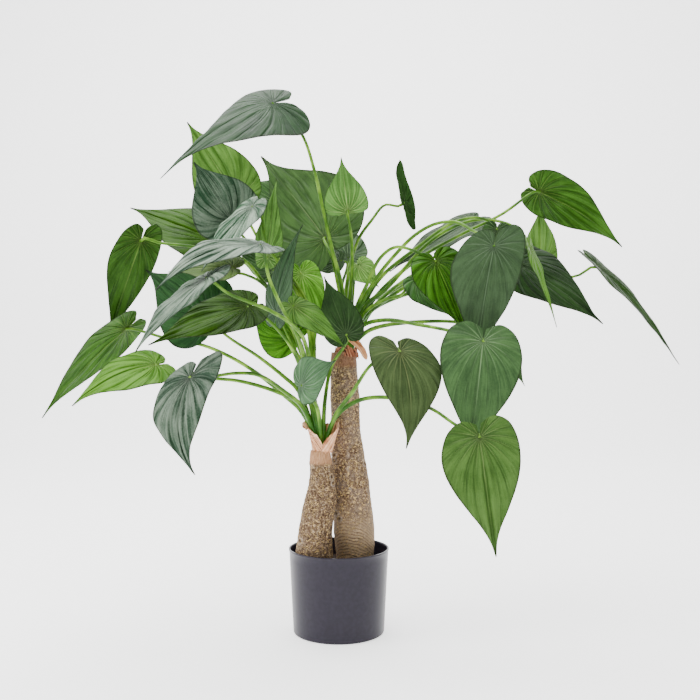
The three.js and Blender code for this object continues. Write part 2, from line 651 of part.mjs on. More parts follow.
// Dry papery sheath: a sheet that stands on its trunk around the crown from one angle to another;
// its rule gives the radius and height above the trunk's top at a share of the way round and up
function sheathShape(crown, sheath, rule) {
  const spot = (share, up) => {
    const angle = (sheath.from + (sheath.to - sheath.from) * share) * DEGREE;
    const { radius, height } = rule(share, Math.max(0, up), angle);
    return new THREE.Vector3(
      crown.x + (crown.r + radius) * Math.cos(angle),
      crown.y + (crown.r + radius) * Math.sin(angle),
      crown.z + 2 * GAP + height,
    );
  };
  return sheetSolid(sheath.rows, sheath.columns, (i, j, side) => {
    const share = j / sheath.columns;
    const up = i / sheath.rows;
    const onward = spot(share, up + SMALL_STEP).sub(spot(share, up - SMALL_STEP));
    const outward = spot(share + SMALL_STEP, up).sub(spot(share - SMALL_STEP, up));
    const normal = outward.cross(onward);
    normal.z = i === 0 ? 0 : normal.z;
    return spot(share, up).addScaledVector(normal.normalize(), (side * SHEATH_THICK) / 2);
  });
}

// Cup at the short crown: open down to its foot in front, with a flap curled out on either hand
function cup(share, up, angle) {
  const middle = Math.max(0, Math.sin(Math.PI * share));
  const height = CUP.low + CUP.rise * middle ** CUP.fade * (1 - CUP.dip * middle ** CUP.dent);
  const flare = CUP.flare + CUP.flapFlare * Math.abs(Math.cos(angle - CUP.flapTurn * DEGREE));
  return { radius: CUP.foot + flare * up ** CUP.open, height: height * up };
}

// Ragged ring left at the foot of the tall crown
function remnant(share, up) {
  const tooth = (sum, one) => sum + one.high * Math.sin(one.waves * share);
  const height = REMNANT.teeth.reduce(tooth, REMNANT.high);
  return { radius: REMNANT.foot + REMNANT.flare * up, height: height * up };
}

// Flap that rises in front of the tall crown and curls over and down past the trunk's edge
function curledFlap(share, up) {
  const reach = FLAP.reach + FLAP.point * Math.sin(Math.PI * share);
  const height = FLAP.rise * Math.sin(FLAP.arch * Math.PI * up) - FLAP.drop * up;
  return { radius: FLAP.foot + reach * up, height };
}

const COLOURS = {
  pot: 0x4c4a52,
  soil: 0x2c2119,
  bark: 0x84694a,
  petiole: 0x7ba63a,
  sheath: 0xc79a76,
  grey: 0x6f8a7a,
  light: 0x6f9a4a,
  mid: 0x4c7c38,
  dark: 0x2f5a3a,
  olive: 0x5a7a45,
  under: 0x6f9a52,
  teal: 0x4a7a66,
  bright: 0x4f9a1e,
  bluish: 0x3f6650,
};

const group = new THREE.Group();

// Names a piece, gives it its colour and puts it in the group
function add(name, shape, colour, roughness) {
  const material = new THREE.MeshStandardMaterial({ color: colour, roughness, metalness: 0 });
  const mesh = new THREE.Mesh(shape, material);
  mesh.name = name;
  group.add(mesh);
}

add('pot', potShape(), COLOURS.pot, 0.55);
add('soil', soilShape(), COLOURS.soil, 0.95);
add('trunk_short', trunkShape(SHORT_TRUNK), COLOURS.bark, 0.85);
add('trunk_tall', trunkShape(TALL_TRUNK), COLOURS.bark, 0.85);
add('petioles_tall', crownShape('tall'), COLOURS.petiole, 0.45);
add('petioles_short', crownShape('short'), COLOURS.petiole, 0.45);
add('sheath_short', sheathShape(CROWNS.short, CUP, cup), COLOURS.sheath, 0.8);
add('sheath_tall', sheathShape(CROWNS.tall, REMNANT, remnant), COLOURS.sheath, 0.8);
add('flap_tall', sheathShape(CROWNS.tall, FLAP, curledFlap), COLOURS.sheath, 0.8);
for (const leaf of LEAVES) {
  add(`leaf_${leaf.name}`, bladeShape(leaf), COLOURS[leaf.tone], 0.5);
}

export default group;
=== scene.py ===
"""Potted chinese taro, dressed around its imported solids: fine blades with veins, round petioles,
bark, dry sheaths, potting mix and a moulded grow pot."""

import functools
import math
import random

import bmesh
import bpy
import numpy as np
from mathutils import Matrix, Vector, noise


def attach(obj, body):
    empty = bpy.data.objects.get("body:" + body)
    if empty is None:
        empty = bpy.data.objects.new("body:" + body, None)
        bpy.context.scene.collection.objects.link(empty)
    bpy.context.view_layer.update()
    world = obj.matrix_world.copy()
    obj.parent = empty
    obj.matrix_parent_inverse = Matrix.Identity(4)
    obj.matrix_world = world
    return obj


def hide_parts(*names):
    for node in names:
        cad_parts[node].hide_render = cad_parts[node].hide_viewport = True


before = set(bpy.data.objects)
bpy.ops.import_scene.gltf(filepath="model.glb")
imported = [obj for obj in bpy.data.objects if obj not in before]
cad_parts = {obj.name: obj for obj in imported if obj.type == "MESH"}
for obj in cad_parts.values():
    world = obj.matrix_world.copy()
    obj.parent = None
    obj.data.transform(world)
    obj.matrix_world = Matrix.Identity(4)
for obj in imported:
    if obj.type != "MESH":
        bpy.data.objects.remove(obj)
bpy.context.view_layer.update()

MM = 0.001
DEGREE = math.pi / 180

# Sizes in millimetres, most of them as in the part's source

# The pot, with the roundings of its foot and lip, and the step under it: how far in, how high
POT = dict(
    height=150, rim=90, base=81.5, wall=1.8, floor=2.5, bead_height=3.5, bead=0.8, foot=3, lip=0.6,
)
POT_STEP = ((9, 0), (8.4, 0.5), (7.4, 0.5), (6.8, 0))
POT_SIDES = 144

# The potting mix, and the chips of bark on it, which keep clear of the middles of the trunks
SOIL_TOP = 120
ROOT_DEPTH = 60
CHIPS = 220
CHIPS_CLEAR = 37

# Height, place and radius of each trunk, from the soil up; its facets around and up it; and how
# far up from the soil its bark comes out in full
TRUNK_SIDES = 120
TRUNK_STEP = 1.8
BARK_FROM = 6
SHORT_TRUNK = [
    (120, -43, -22, 32),
    (146, -43.5, -22, 32.5),
    (160, -43, -22, 30.5),
    (185, -42, -22, 28.5),
    (212, -38, -22, 27.5),
    (238, -34, -22, 25.7),
    (265, -31, -22, 22.3),
    (284, -31, -22, 20.4),
    (301, -32.5, -22, 18.6),
    (327, -32.5, -22, 15.6),
]
TALL_TRUNK = [
    (120, 30, 15, 32.5),
    (136, 30, 15, 33.6),
    (151, 29.5, 15, 35),
    (178, 27.3, 15, 36.3),
    (205, 26.4, 15, 35.4),
    (232, 24.5, 15, 33.6),
    (260, 22.7, 15, 31.8),
    (290, 20.5, 15, 30),
    (323, 16.4, 15, 27.2),
    (360, 12.7, 15, 25.4),
    (414, 11.8, 15, 26),
    (441, 10, 15, 24.5),
    (470, 9.1, 15, 23.6),
    (501, 9.1, 15, 21.8),
]

# Each crown's middle and radius, and how high its bundle of petiole bases is
CROWNS = {
    "tall": dict(x=13, y=15, z=501, r=16, top=46),
    "short": dict(x=-30, y=-22, z=327, r=13, top=46),
}

# Petioles: round bars that swell a little where they meet the blade
PETIOLE_STEPS = 44
PETIOLE_SIDES = 12
SPAN_STEPS = 16
PETIOLE_BASE_RADIUS = 4.4
PETIOLE_END_RADIUS = 2.3
PETIOLE_SWELL = 0.5
PETIOLE_SWELL_FROM = 0.93
PETIOLE_FOOT_OUT = 0.45
PETIOLE_FOOT_UP = 8
NECK_DROP = 11
NECK_BACK = 9

# Dry sheaths: the cup of the short crown, the ring of the tall crown and the flap beside it. The
# cup and the ring run around their crowns from start to end, in degrees
SHEATH_THICK = 0.6
SHEATH_GRAIN = 0.6
CUP = dict(
    start=-86, end=274, foot=3.8, low=10, rise=52, dip=0.35, flare=6, lean=12, flap=11, curl=270,
    scroll=5, hang=5, left=22,
)
REMNANT = dict(start=-100, end=255, foot=7.0, draw=4.4, below=12, high=7, ragged=4)
FLAP = dict(
    start=(21, -9, 526), end=(50, -12, 488), wide=14, arch=4, dish=3, narrow=0.35, round=0.72,
)

# Blades, where their own row says nothing else: bow, fold and curl in degrees
BLADE_THICK = 0.9
LEAST_BOW = 1
FOLD = 6
CURL = 12
WAVE = 2
WAVES_ALONG = 2.2
WAVE_SHIFT = 0.3
VEIN_SAG = 0.05

# The heart shape, row by row from the notch to the tip: where a row leaves the midrib, and where
# it meets the margin, along the leaf and out from the midrib
ROWS = np.array([
    (0, -0.11, 0.1),
    (0.015, -0.165, 0.42),
    (0.04, -0.09, 0.8),
    (0.09, 0.07, 0.99),
    (0.18, 0.25, 0.97),
    (0.3, 0.43, 0.8),
    (0.46, 0.6, 0.52),
    (0.63, 0.75, 0.25),
    (0.81, 0.88, 0.08),
    (1, 1, 0.012),
])

# Fine blades: facets across and along, the side veins' spread in radians at the joint and how much
# they arch in towards the tip. Then how far the blade swells between them, over what distance
# from joint and margin it comes to that and how wide a blade is that does so in full, how deep and
# wide the midrib is sunk, and how far apart leaves are in the noise that makes them uneven
BLADE_COLUMNS = 32
BLADE_ROWS = 54
VEIN_SPREAD = 0.34
VEIN_ARCH = 0.85
QUILT = 1.5
QUILT_APART = 45
PLEAT = 2.2
PLEAT_APART = 80
SWELL_FROM = 30
SWELL_WIDTH = 120
MIDRIB_SINK = 1.0
MIDRIB_WIDE = 2.6
RIPPLE = 1.3
RIPPLE_APART = 28
LEAVES_APART = 3.7

# Rings of the trunks: how far apart, how far they arch, and round from which side
RING_STEP = 5.6
RING_ARCH = 27
RING_TURN = 1.9

# Bark: how far apart its large and small crumbs and its bulges are
CRUMBS_APART = 3.2
CLODS_APART = 7
BULGES_APART = 30

# The ridge down the front of the tall trunk, pale with a painted highlight, and the hollow beside
# it:
# how wide in radians, at what height their middles are, how tall they are, and how far they stand
# out
RIDGE = dict(wide=0.16, height=290, tall=55, out=1.3)
HOLLOW = dict(wide=0.26, height=285, tall=50, out=-1.5, beside=0.55)

# Swellings of the trunks: at what angle in radians and height, how tall, and how far they stand out
SWELLINGS = {
    "tall": dict(angle=3.4, height=312, tall=34, out=2.2),
    "short": dict(angle=0, height=250, tall=50, out=2.2),
}

# A knot is a dark pit in a raised rim that a painted highlight makes pale: how wide both are, how
# far out, and how high or deep.
# A radian around the trunk counts as so many mm for it
KNOT = dict(dark=2.8, pit=2.4, deep=2.2, rim=4.5, rim_wide=2, high=1.2, pale=5, pale_wide=1.6)
KNOT_TURN = 24

# Knots in the bark, at that angle about the trunk in radians and at that height
KNOTS = {
    "tall": ((-2.6, 316), (-2.62, 306), (-2.6, 212), (-2.4, 203), (-0.35, 300)),
    "short": ((-0.6, 282), (-0.5, 270), (-2.5, 170)),
}

# How light a leaf's colour is beside the others of its tone: partly its own tone, partly painted
# light and shade, such as a lighter colour for a leaf that lies in shade
LIGHTNESS_AND_PAINTED_LIGHT = {
    "01": 0.4, "02": 0.88, "03": 0.5, "04": 0.53, "05": 1.2, "06": 0.78, "07": 0.65, "08": 0.7,
    "09": 0.6, "10": 0.76, "11": 0.95, "12": 0.4, "13": 1.27, "14": 0.5, "15": 0.72, "16": 2.1,
    "17": 0.58, "19": 1.68, "22": 1.9, "23": 0.7, "24": 0.6, "25": 0.63, "26": 1.5, "27": 0.76,
    "28": 0.8, "29": 1.3, "30": 0.62, "31": 0.54, "33": 0.3, "34": 0.58, "36": 0.66, "37": 0.61,
    "38": 3.3, "39": 1.02, "40": 1.35,
}

# How deep a leaf's pleats are, where they are deeper or shallower than most
PLEATED = {
    "01": 0.9, "02": 1.4, "03": 1.4, "05": 1.8, "06": 2.0, "07": 2.0, "08": 1.5, "10": 1.5,
    "11": 1.3, "12": 1.8, "13": 1.5, "14": 1.4, "16": 1.3, "25": 1.7, "27": 0.5, "28": 1.9,
    "29": 0.5, "31": 1.6, "34": 1.1, "36": 0.7, "37": 0.6, "38": 1.4, "40": 0.7,
}

# How much wider a leaf's halves are than their plan: left and right by the joint, then left and
# right from halfway on. The margins of all of them wander, about once in so many rows
UNEVEN = {
    "01": (1.1, 0.86, 0.9, 0.35), "27": (0.92, 1.08, 0.92, 1.08), "29": (0.97, 1.04, 0.97, 1.04),
    "34": (0.96, 1.04, 0.96, 1.04), "36": (1.06, 0.94, 1.06, 0.94),
}
RAGGED = 0.1
WANDER_ROWS = 6

# Leaves whose skin is that of another tone than their plan's
SKINS = {"01": "teal", "03": "grey", "04": "mid", "39": "mid", "23": "matt"}

# How many degrees a half of a leaf is lifted beyond its plan, left half then right half
LIFTED = {"01": (-10, 9)}

# How much further back a leaf's lobes reach than its plan's, left half then right half, and how
# nearly shut its notch is, with that of most
LOBES = {"01": (1.0, 1.7)}
SHUT = {"17": 0.95, "29": 0.1, "34": 0.0, "36": 0.0, "40": 0.95}
SHUT_MOST = 0.2

# How strong a leaf's green is beside its tone's, with that of most
LUSH = dict.fromkeys(("05", "06", "13", "15", "16", "17", "19", "22", "25", "27", "29"), 1.0)
LUSH |= {
    "01": 1.2, "02": 1.05, "03": 1.25, "04": 1.3, "09": 1.3, "12": 1.25, "26": 1.2, "31": 1.15,
    "33": 1.3, "34": 1.0, "36": 1.0, "40": 1.0,
}
LUSH_MOST = 1.12

# Each leaf, as in the part's source: its number, crown and tone, where its joint and its tip are,
# the way its face looks, its width, the places that its petiole passes, and how it is bent
COLUMNS = ("name", "crown", "tone", "joint", "tip", "face", "wide", "stem")
LEAVES = [dict(zip(COLUMNS, row), **bends) for *row, bends in (
    ("01", "tall", "grey", (-114, -70, 930), (-286, -170, 781), (-0.2, -0.78, 0.6), 155,
     [(6, 2, 613), (-12, -8, 684), (-28, -20, 754), (-43, -35, 822), (-66, -42, 886)],
     dict(fold=-5, curl=14, bow=36, twist=35, lean=-0.08)),
    ("02", "tall", "light", (-199, 110, 801), (-293, 110, 943), (-0.2, -0.8, 0.4), 125,
     [(-39, 50, 598), (-98, 90, 661), (-159, 130, 723)], dict(bow=10)),
    ("03", "short", "dark", (-194, 10, 740), (-261, 0, 843), (0.1, -0.9, 0.4), 132,
     [(-45, -28, 434), (-49, -27, 514), (-64, -12, 594), (-101, 8, 653), (-156, 26, 692)],
     dict(fold=10, bow=15)),
    ("04", "short", "olive", (-235, 70, 712), (-395, 80, 773), (-0.1, -0.6, 0.8), 151,
     [(-52, 10, 424), (-73, 50, 505), (-122, 84, 600), (-190, 96, 680)],
     dict(bow=15, sweep=-4)),
    ("05", "short", "grey", (-152, -45, 755), (-239, -54, 642), (-0.7, -0.5, 0.5), 112,
     [(-49, -35, 435), (-51, -28, 523), (-69, -12, 594), (-103, -12, 652), (-128, -36, 695)],
     dict(fold=4, bow=15, twist=-10)),
    ("06", "short", "grey", (-120, -224, 668), (-264, -306, 593), (-0.35, -0.56, 0.8), 105,
     [(-52, -38, 452), (-69, -110, 530), (-90, -166, 573), (-109, -202, 623)],
     dict(fold=5, bow=52, twist=-10)),
    ("07", "short", "grey", (-195, -280, 612), (-274, -390, 502), (-0.45, -0.32, 0.75), 103,
     [(-54, -70, 505), (-69, -134, 541), (-106, -198, 567), (-168, -254, 593)],
     dict(fold=5, bow=15, twist=-5)),
    ("08", "short", "under", (-352, -20, 699), (-418, 10, 519), (-0.5, 0.8, 0.1), 86,
     [(-47, -30, 417), (-68, -28, 505), (-98, -16, 576), (-140, 12, 632), (-173, 16, 669),
      (-222, 4, 685), (-269, -12, 691), (-319, -16, 696)], dict(bow=10, lean=0.06)),
    ("09", "short", "teal", (-236, -10, 562), (-345, -10, 648), (-0.2, -0.8, 0.5), 150,
     [(-72, -30, 434), (-94, -35, 456), (-143, -30, 494), (-194, -15, 526)], dict(bow=10)),
    ("10", "short", "under", (-381, -10, 543), (-521, -40, 386), (-0.45, 0.45, 0.78), 100,
     [(-65, -25, 395), (-95, -30, 424), (-143, -30, 463), (-192, -28, 493), (-243, -22, 514),
      (-297, -15, 523), (-347, -10, 537)], dict(bow=10, sweep=-4)),
    ("11", "short", "light", (-307, -110, 480), (-431, -160, 414), (0, -0.5, 0.85), 116,
     [(-68, -45, 410), (-101, -60, 430), (-167, -90, 452), (-224, -106, 458),
      (-278, -114, 465)], dict(bow=40)),
    ("12", "short", "mid", (-150, -134, 576), (-301, -190, 513), (-0.1, -0.65, 0.75), 113,
     [(-57, -50, 444), (-81, -106, 513), (-116, -130, 555)], dict(bow=8)),
    ("13", "short", "bright", (-80, -8, 528), (-165, 14, 579), (-0.1, -0.95, 0.35), 106,
     [(-47, -28, 417), (-58, -20, 478)], dict(fold=14)),
    ("14", "short", "grey", (-222, -260, 463), (-211, -280, 319), (-0.5, -0.85, 0.1), 111,
     [(-62, -50, 404), (-91, -90, 434), (-130, -150, 464), (-163, -190, 468),
      (-194, -234, 465)], dict(bow=15, sweep=24, lobe=1.2, lean=-0.08)),
    ("15", "short", "teal", (-109, -46, 571), (-63, -30, 726), (-0.72, -0.68, 0), 72,
     [(-50, -40, 426), (-68, -42, 487), (-90, -43, 533)], dict(bow=30)),
    ("16", "short", "mid", (-129, 0, 674), (-112, 3, 815), (-0.6, -0.8, 0), 62,
     [(-44, -28, 434), (-44, -26, 514), (-58, -16, 594), (-91, -4, 641)], dict(bow=5)),
    ("17", "tall", "under", (-27, 84, 717), (-162, 220, 901), (0, 0.9, 0.3), 203,
     [(4, 24, 596), (-2, 30, 624), (-13, 39, 676)], dict(bow=10, lobe=1.15)),
    ("18", "tall", "dark", (-131, 140, 661), (-202, 130, 699), (-0.1, -0.8, 0.6), 68,
     [(-39, 50, 594), (-87, 132, 631)], dict()),
    ("19", "tall", "under", (16, -5, 754), (4, -5, 851), (0, 0.95, 0.2), 78,
     [(20, 5, 595), (24, 0, 663), (22, -3, 712)], dict(bow=8, lobe=0.35)),
    ("20", "tall", "dark", (16, 170, 690), (10, 260, 778), (0, -0.8, 0.6), 78,
     [(18, 35, 597), (18, 100, 639)], dict()),
    ("21", "tall", "dark", (1, 132, 678), (-57, 156, 661), (-0.1, -0.8, 0.6), 53,
     [(11, 38, 597), (5, 104, 629)], dict()),
    ("22", "tall", "light", (36, 25, 660), (73, 30, 620), (0, -0.8, 0.5), 55,
     [(24, 20, 596), (27, 22, 636)], dict()),
    ("23", "tall", "teal", (122, 80, 784), (129, 340, 910), (0.95, -0.1, 0.3), 121,
     [(13, 30, 615), (35, 60, 710), (61, 70, 749), (86, 80, 779)], dict(bow=10, fold=10)),
    ("24", "tall", "dark", (255, 140, 755), (96, 100, 654), (0.2, -0.25, 0.95), 113,
     [(50, 60, 589), (116, 100, 625), (195, 130, 695), (243, 140, 728)], dict(bow=10)),
    ("25", "tall", "bright", (168, -70, 657), (216, -90, 532), (0.1, -0.9, 0.3), 105,
     [(29, 0, 573), (50, -20, 621), (73, -35, 667), (99, -45, 685), (128, -54, 679)],
     dict(bow=15)),
    ("26", "tall", "dark", (141, -15, 630), (212, -20, 555), (0, -0.6, 0.8), 100,
     [(47, 0, 572), (83, -8, 595), (113, -12, 605)], dict(bow=15)),
    ("27", "tall", "bluish", (260, -120, 677), (232, -94, 478), (0, -1, 0.1), 117,
     [(29, 0, 563), (65, -12, 630), (100, -22, 674), (135, -32, 708), (169, -42, 726),
      (203, -54, 728), (232, -82, 708)], dict(bow=15, sweep=3, lean=-0.1)),
    ("28", "tall", "under", (360, -10, 788), (495, -50, 685), (0.25, 0.6, 0.75), 104,
     [(34, 5, 550), (74, 10, 610), (147, 12, 672), (219, 8, 713), (294, 2, 750)],
     dict(bow=22, sweep=3, fold=8)),
    ("29", "tall", "dark", (235, -166, 518), (209, -190, 330), (0, -1, 0.1), 129,
     [(42, -5, 548), (82, -28, 558), (140, -74, 548), (186, -126, 537)], dict(bow=15)),
    ("30", "tall", "light", (381, 80, 671), (393, 150, 790), (-0.1, -0.8, 0.5), 63,
     [(76, 50, 598), (193, 110, 670), (322, 136, 669)], dict()),
    ("31", "tall", "dark", (321, 0, 663), (467, -30, 551), (0.1, -0.65, 0.75), 150,
     [(42, 15, 559), (111, 22, 614), (203, 25, 666), (275, 18, 683)], dict(bow=12)),
    ("32", "tall", "light", (332, -62, 682), (374, -82, 544), (0.85, -0.42, 0.35), 60,
     [(49, 2, 586), (83, 0, 613), (173, 0, 707), (243, -14, 737), (300, -28, 728),
      (321, -44, 708)], dict()),
    ("33", "tall", "under", (488, 80, 662), (623, 30, 478), (0.72, -0.45, 0.5), 96,
     [(49, 25, 569), (152, 80, 618), (310, 120, 644), (423, 108, 643), (457, 92, 648)],
     dict(fold=10, bow=15, lobe=1.2)),
    ("34", "short", "light", (215, -270, 373), (236, -290, 199), (0.1, -1, 0.15), 120,
     [(-6, -40, 387), (29, -60, 415), (76, -94, 425), (146, -146, 412), (189, -226, 386)],
     dict(bow=15, sweep=2, lean=-0.03)),
    ("35", "tall", "dark", (287, -70, 508), (321, -70, 443), (0, -1, 0.1), 36,
     [(56, -5, 541), (144, -25, 555), (229, -50, 549)], dict()),
    ("36", "short", "olive", (101, -160, 502), (110, -182, 347), (0.1, -1, 0.1), 108,
     [(-5, -45, 391), (23, -80, 431), (53, -122, 478), (78, -140, 497)],
     dict(bow=15, sweep=-12, lean=0.05)),
    ("37", "short", "dark", (13, -45, 533), (-26, -40, 635), (0, -0.95, 0.3), 74,
     [(-24, -35, 417), (-12, -22, 478), (8, -26, 509)], dict(bow=10)),
    ("38", "tall", "mid", (-70, 38, 645), (-42, 30, 505), (0, -0.9, 0.3), 76,
     [(-4, 30, 589), (-34, 64, 617)], dict(bow=10)),
    ("39", "short", "olive", (-75, -100, 579), (15, -134, 507), (0.35, -0.75, 0.55), 61,
     [(-43, -46, 425), (-59, -74, 488), (-72, -86, 543)], dict(bow=8)),
    ("40", "short", "teal", (-57, -180, 449), (-2, -220, 489), (-0.1, -0.9, 0.5), 84,
     [(-35, -60, 398), (-45, -126, 427)], dict(bow=5)),
    ("42", "short", "olive", (-187, -42, 649), (-302, -28, 643), (0, -0.5, 0.9), 96,
     [(-49, -32, 443), (-70, -30, 523), (-103, -12, 585), (-142, 4, 628), (-170, -24, 640)],
     dict(bow=10)),
    ("43", "tall", "dark", (-130, 252, 811), (-204, 264, 858), (0, -0.9, 0.3), 91,
     [(-45, 100, 604), (-106, 204, 683)], dict()),
    ("44", "tall", "dark", (277, -45, 715), (265, -47, 627), (0.1, -0.9, 0.3), 56,
     [(65, 8, 623), (146, -5, 693), (207, -20, 733), (249, -33, 738)], dict()),
)]

# Nodes and colours


def linear(hex_colour):
    """An sRGB hex colour as linear red, green, blue and alpha."""
    parts = [int(hex_colour[i : i + 2], 16) / 255 for i in (1, 3, 5)]
    return (*[c / 12.92 if c <= 0.04045 else ((c + 0.055) / 1.055) ** 2.4 for c in parts], 1.0)


def add_node(tree, kind, inputs=None, stops=None, **settings):
    """Adds a shader node with its settings. Each input is a value, a hex colour, a socket, or a
    node, whose first open output is linked."""
    node = tree.nodes.new("ShaderNode" + kind)
    for name, value in settings.items():
        setattr(node, name, value)
    for socket, value in (inputs or {}).items():
        if isinstance(value, bpy.types.Node):
            value = next(out for out in value.outputs if out.enabled)
        if isinstance(value, bpy.types.NodeSocket):
            tree.links.new(value, node.inputs[socket])
        else:
            node.inputs[socket].default_value = linear(value) if isinstance(value, str) else value
    if stops:
        ramp = node.color_ramp
        while len(ramp.elements) < len(stops):
            ramp.elements.new(1)
        for element, (place, colour) in zip(ramp.elements, stops):
            element.position = place
            element.color = linear(colour)
    return node


def new_material(name):
    """An empty material, and the function that adds nodes to it."""
    material = bpy.data.materials.new(name)
    material.use_nodes = True
    material.node_tree.nodes.clear()
    return material, functools.partial(add_node, material.node_tree)


# A MapRange that eases in and out
EASED = dict(interpolation_type="SMOOTHSTEP")


def leaf_material(name, blade, deep, vein, rough, wax, under=False):
    """Living leaf, grown with a waxy skin: its side veins are sunk above and stand out pale below,
    so its satin sheen breaks along them. Blade and deep are the skin's lighter and darker greens,
    and deep is also painted shade in the creases beside the veins; vein is the colour on the veins,
    and wax is how strongly the skin shines. The leaf's light scales its colour, both for its own
    tone and as painted light and shade."""
    material, add = new_material(name)
    place = add("TexCoord").outputs["Object"]
    (along, pleated, share), (turn, reach, middle), (light, breadth, seed) = (
        add("SeparateXYZ", {0: add("Attribute", attribute_name=layer).outputs["Vector"]}).outputs
        for layer in ("blade", "vein", "leaf")
    )

    # Streaks that follow the side veins from the joint to the tip, about 3 mm and 1 mm wide
    lengthwise = add("CombineXYZ", {0: turn, 1: reach, 2: seed})
    wide = add("Mapping", {"Vector": lengthwise, "Scale": (10, 0.014, 1)})
    wide = add("TexNoise", {"Vector": wide, "Scale": 1.0, "Detail": 1.5})
    fine = add("Mapping", {"Vector": lengthwise, "Scale": (38, 0.05, 1)})
    fine = add("TexNoise", {"Vector": fine, "Scale": 1.0, "Detail": 2.0})

    # Pale side veins, a star about the joint that fades outwards, each beside a crease darkened
    # with painted shade
    off = add("Math", {0: turn, 1: VEIN_SPREAD / 2}, operation="PINGPONG")
    off = add("Math", {0: off, 1: breadth}, operation="MULTIPLY")
    main = add("MapRange", {0: off, 1: 0.3, 2: 1.2, 3: 1.0, 4: 0.0}, **EASED)
    fade = add("MapRange", {0: reach, 1: 8.0, 2: 60.0, 3: 1.1, 4: 0.08}, **EASED)
    fade = add("Math", {0: fade, 1: wide}, operation="MULTIPLY")
    main = add("Math", {0: main, 1: fade}, operation="MULTIPLY")
    rib = add("MapRange", {0: middle, 1: 0.4, 2: 1.6, 3: 1.0, 4: 0.0}, **EASED)
    fade = add("MapRange", {0: along, 1: 0.1, 2: 0.75, 3: 0.85, 4: 0.1}, **EASED)
    rib = add("Math", {0: rib, 1: fade}, operation="MULTIPLY")
    star = add("MapRange", {0: reach, 1: 1.0, 2: 9.0, 3: 0.7, 4: 0.0}, **EASED)
    veins = add("Math", {0: main, 1: rib}, operation="MAXIMUM")
    veins = add("Math", {0: veins, 1: star}, operation="MAXIMUM")
    crease = add("MapRange", {0: off, 1: 0.8, 2: 4.5, 3: 1.0, 4: 0.0}, **EASED)
    uneven = add("MapRange", {0: wide, 1: 0.4, 2: 0.62, 3: 0.9, 4: 0.1})
    for depth in (uneven, pleated):
        crease = add("Math", {0: crease, 1: depth}, operation="MULTIPLY")

    # Green drifts over 35 mm and along the streaks, with a mottle of about 2.5 mm; painted shade in
    # the creases pulls it towards the deep green
    tone = add("TexNoise", {"Vector": place, "Scale": 1 / (35 * MM), "Detail": 3.0})
    mottle = add("TexNoise", {"Vector": place, "Scale": 1 / (2.5 * MM), "Detail": 4.0})
    for part, weight in ((wide, 1.1), (fine, 0.5), (mottle, 0.5), (crease, -0.2)):
        tone = add("Math", {0: part, 1: weight, 2: tone}, operation="MULTIPLY_ADD")
    tone = add("MapRange", {0: tone, 1: 1.25, 2: 1.8})
    colour = add("Mix", {0: tone, 6: deep, 7: blade}, data_type="RGBA")
    strength = add("Math", {0: veins, 1: 0.85 if under else 0.7}, operation="MULTIPLY")
    colour = add("Mix", {0: strength, 6: colour, 7: vein}, data_type="RGBA")
    # Each leaf's light scales its colour: its own tone, and painted light and shade
    colour = add("VectorMath", {0: colour, "Scale": light}, operation="SCALE")
    lush = add("Attribute", attribute_name="lush").outputs["Fac"]
    colour = add("HueSaturation", {"Saturation": lush, "Color": colour})

    # The margin is a dark line and the drip tip nearly black
    edge = add("MapRange", {0: share, 1: 0.94, 2: 0.985, 3: 0.0, 4: 0.7}, **EASED)
    tip = add("MapRange", {0: along, 1: 0.9, 2: 1.0, 3: 0.0, 4: 0.9}, **EASED)
    edge = add("Math", {0: edge, 1: tip}, operation="MAXIMUM")
    colour = add("Mix", {0: edge, 6: colour, 7: "#18220F"}, data_type="RGBA")

    # Veins stand out of the skin below and sink into it above
    height = add("Math", {0: crease, 1: 2.4 if under else -2.4}, operation="MULTIPLY")
    for part, weight in ((veins, 0.8), (wide, 2.4), (fine, 0.5)):
        height = add("Math", {0: part, 1: weight, 2: height}, operation="MULTIPLY_ADD")
    gloss = add("MapRange", {0: mottle, 1: 0.3, 2: 0.7, 3: rough - 0.05, 4: rough + 0.08})
    surface = {
        "Base Color": colour, "Roughness": gloss, "IOR": 1.45, "Specular IOR Level": wax,
        "Normal": add("Bump", {"Strength": 1.0, "Distance": 0.7 * MM, "Height": height}),
    }
    add("OutputMaterial", {"Surface": add("BsdfPrincipled", surface)})
    return material


def petiole_material():
    """Living leaf stalk: smooth and juicy, with fine lengthwise streaks, which gives long thin
    highlights, and painted shade that darkens it low down, by the crown."""
    material, add = new_material("petiole_skin")
    place = add("TexCoord").outputs["Object"]
    spot = add("Attribute", attribute_name="stalk").outputs["Vector"]
    run, turn, share = add("SeparateXYZ", {0: spot}).outputs
    lengthwise = add("CombineXYZ", {0: turn, 1: run})
    stretched = add("Mapping", {"Vector": lengthwise, "Scale": (2.5, 0.015, 1)})
    streak = add("TexNoise", {"Vector": stretched, "Scale": 1.0, "Detail": 3.0})
    blotch = add("TexNoise", {"Vector": place, "Scale": 1 / (25 * MM), "Detail": 2.0})
    mix = add("Math", {0: streak, 1: blotch}, operation="ADD")
    mix = add("MapRange", {0: mix, 1: 0.8, 2: 1.25})
    greens = [(0.0, "#2F5410"), (0.45, "#4C761A"), (1.0, "#7AA238")]
    colour = add("ValToRGB", {0: mix}, stops=greens)
    # Painted shade darkens the stalks low down, where they crowd at the crown
    low = add("MapRange", {0: share, 1: 0.0, 2: 0.35, 3: 0.85, 4: 0.0})
    colour = add("Mix", {0: low, 6: colour, 7: "#205410"}, data_type="RGBA")
    surface = {
        "Base Color": colour, "Roughness": 0.4, "IOR": 1.45, "Specular IOR Level": 0.2,
        "Normal": add("Bump", {"Strength": 0.3, "Distance": 0.2 * MM, "Height": streak}),
    }
    add("OutputMaterial", {"Surface": add("BsdfPrincipled", surface)})
    return material


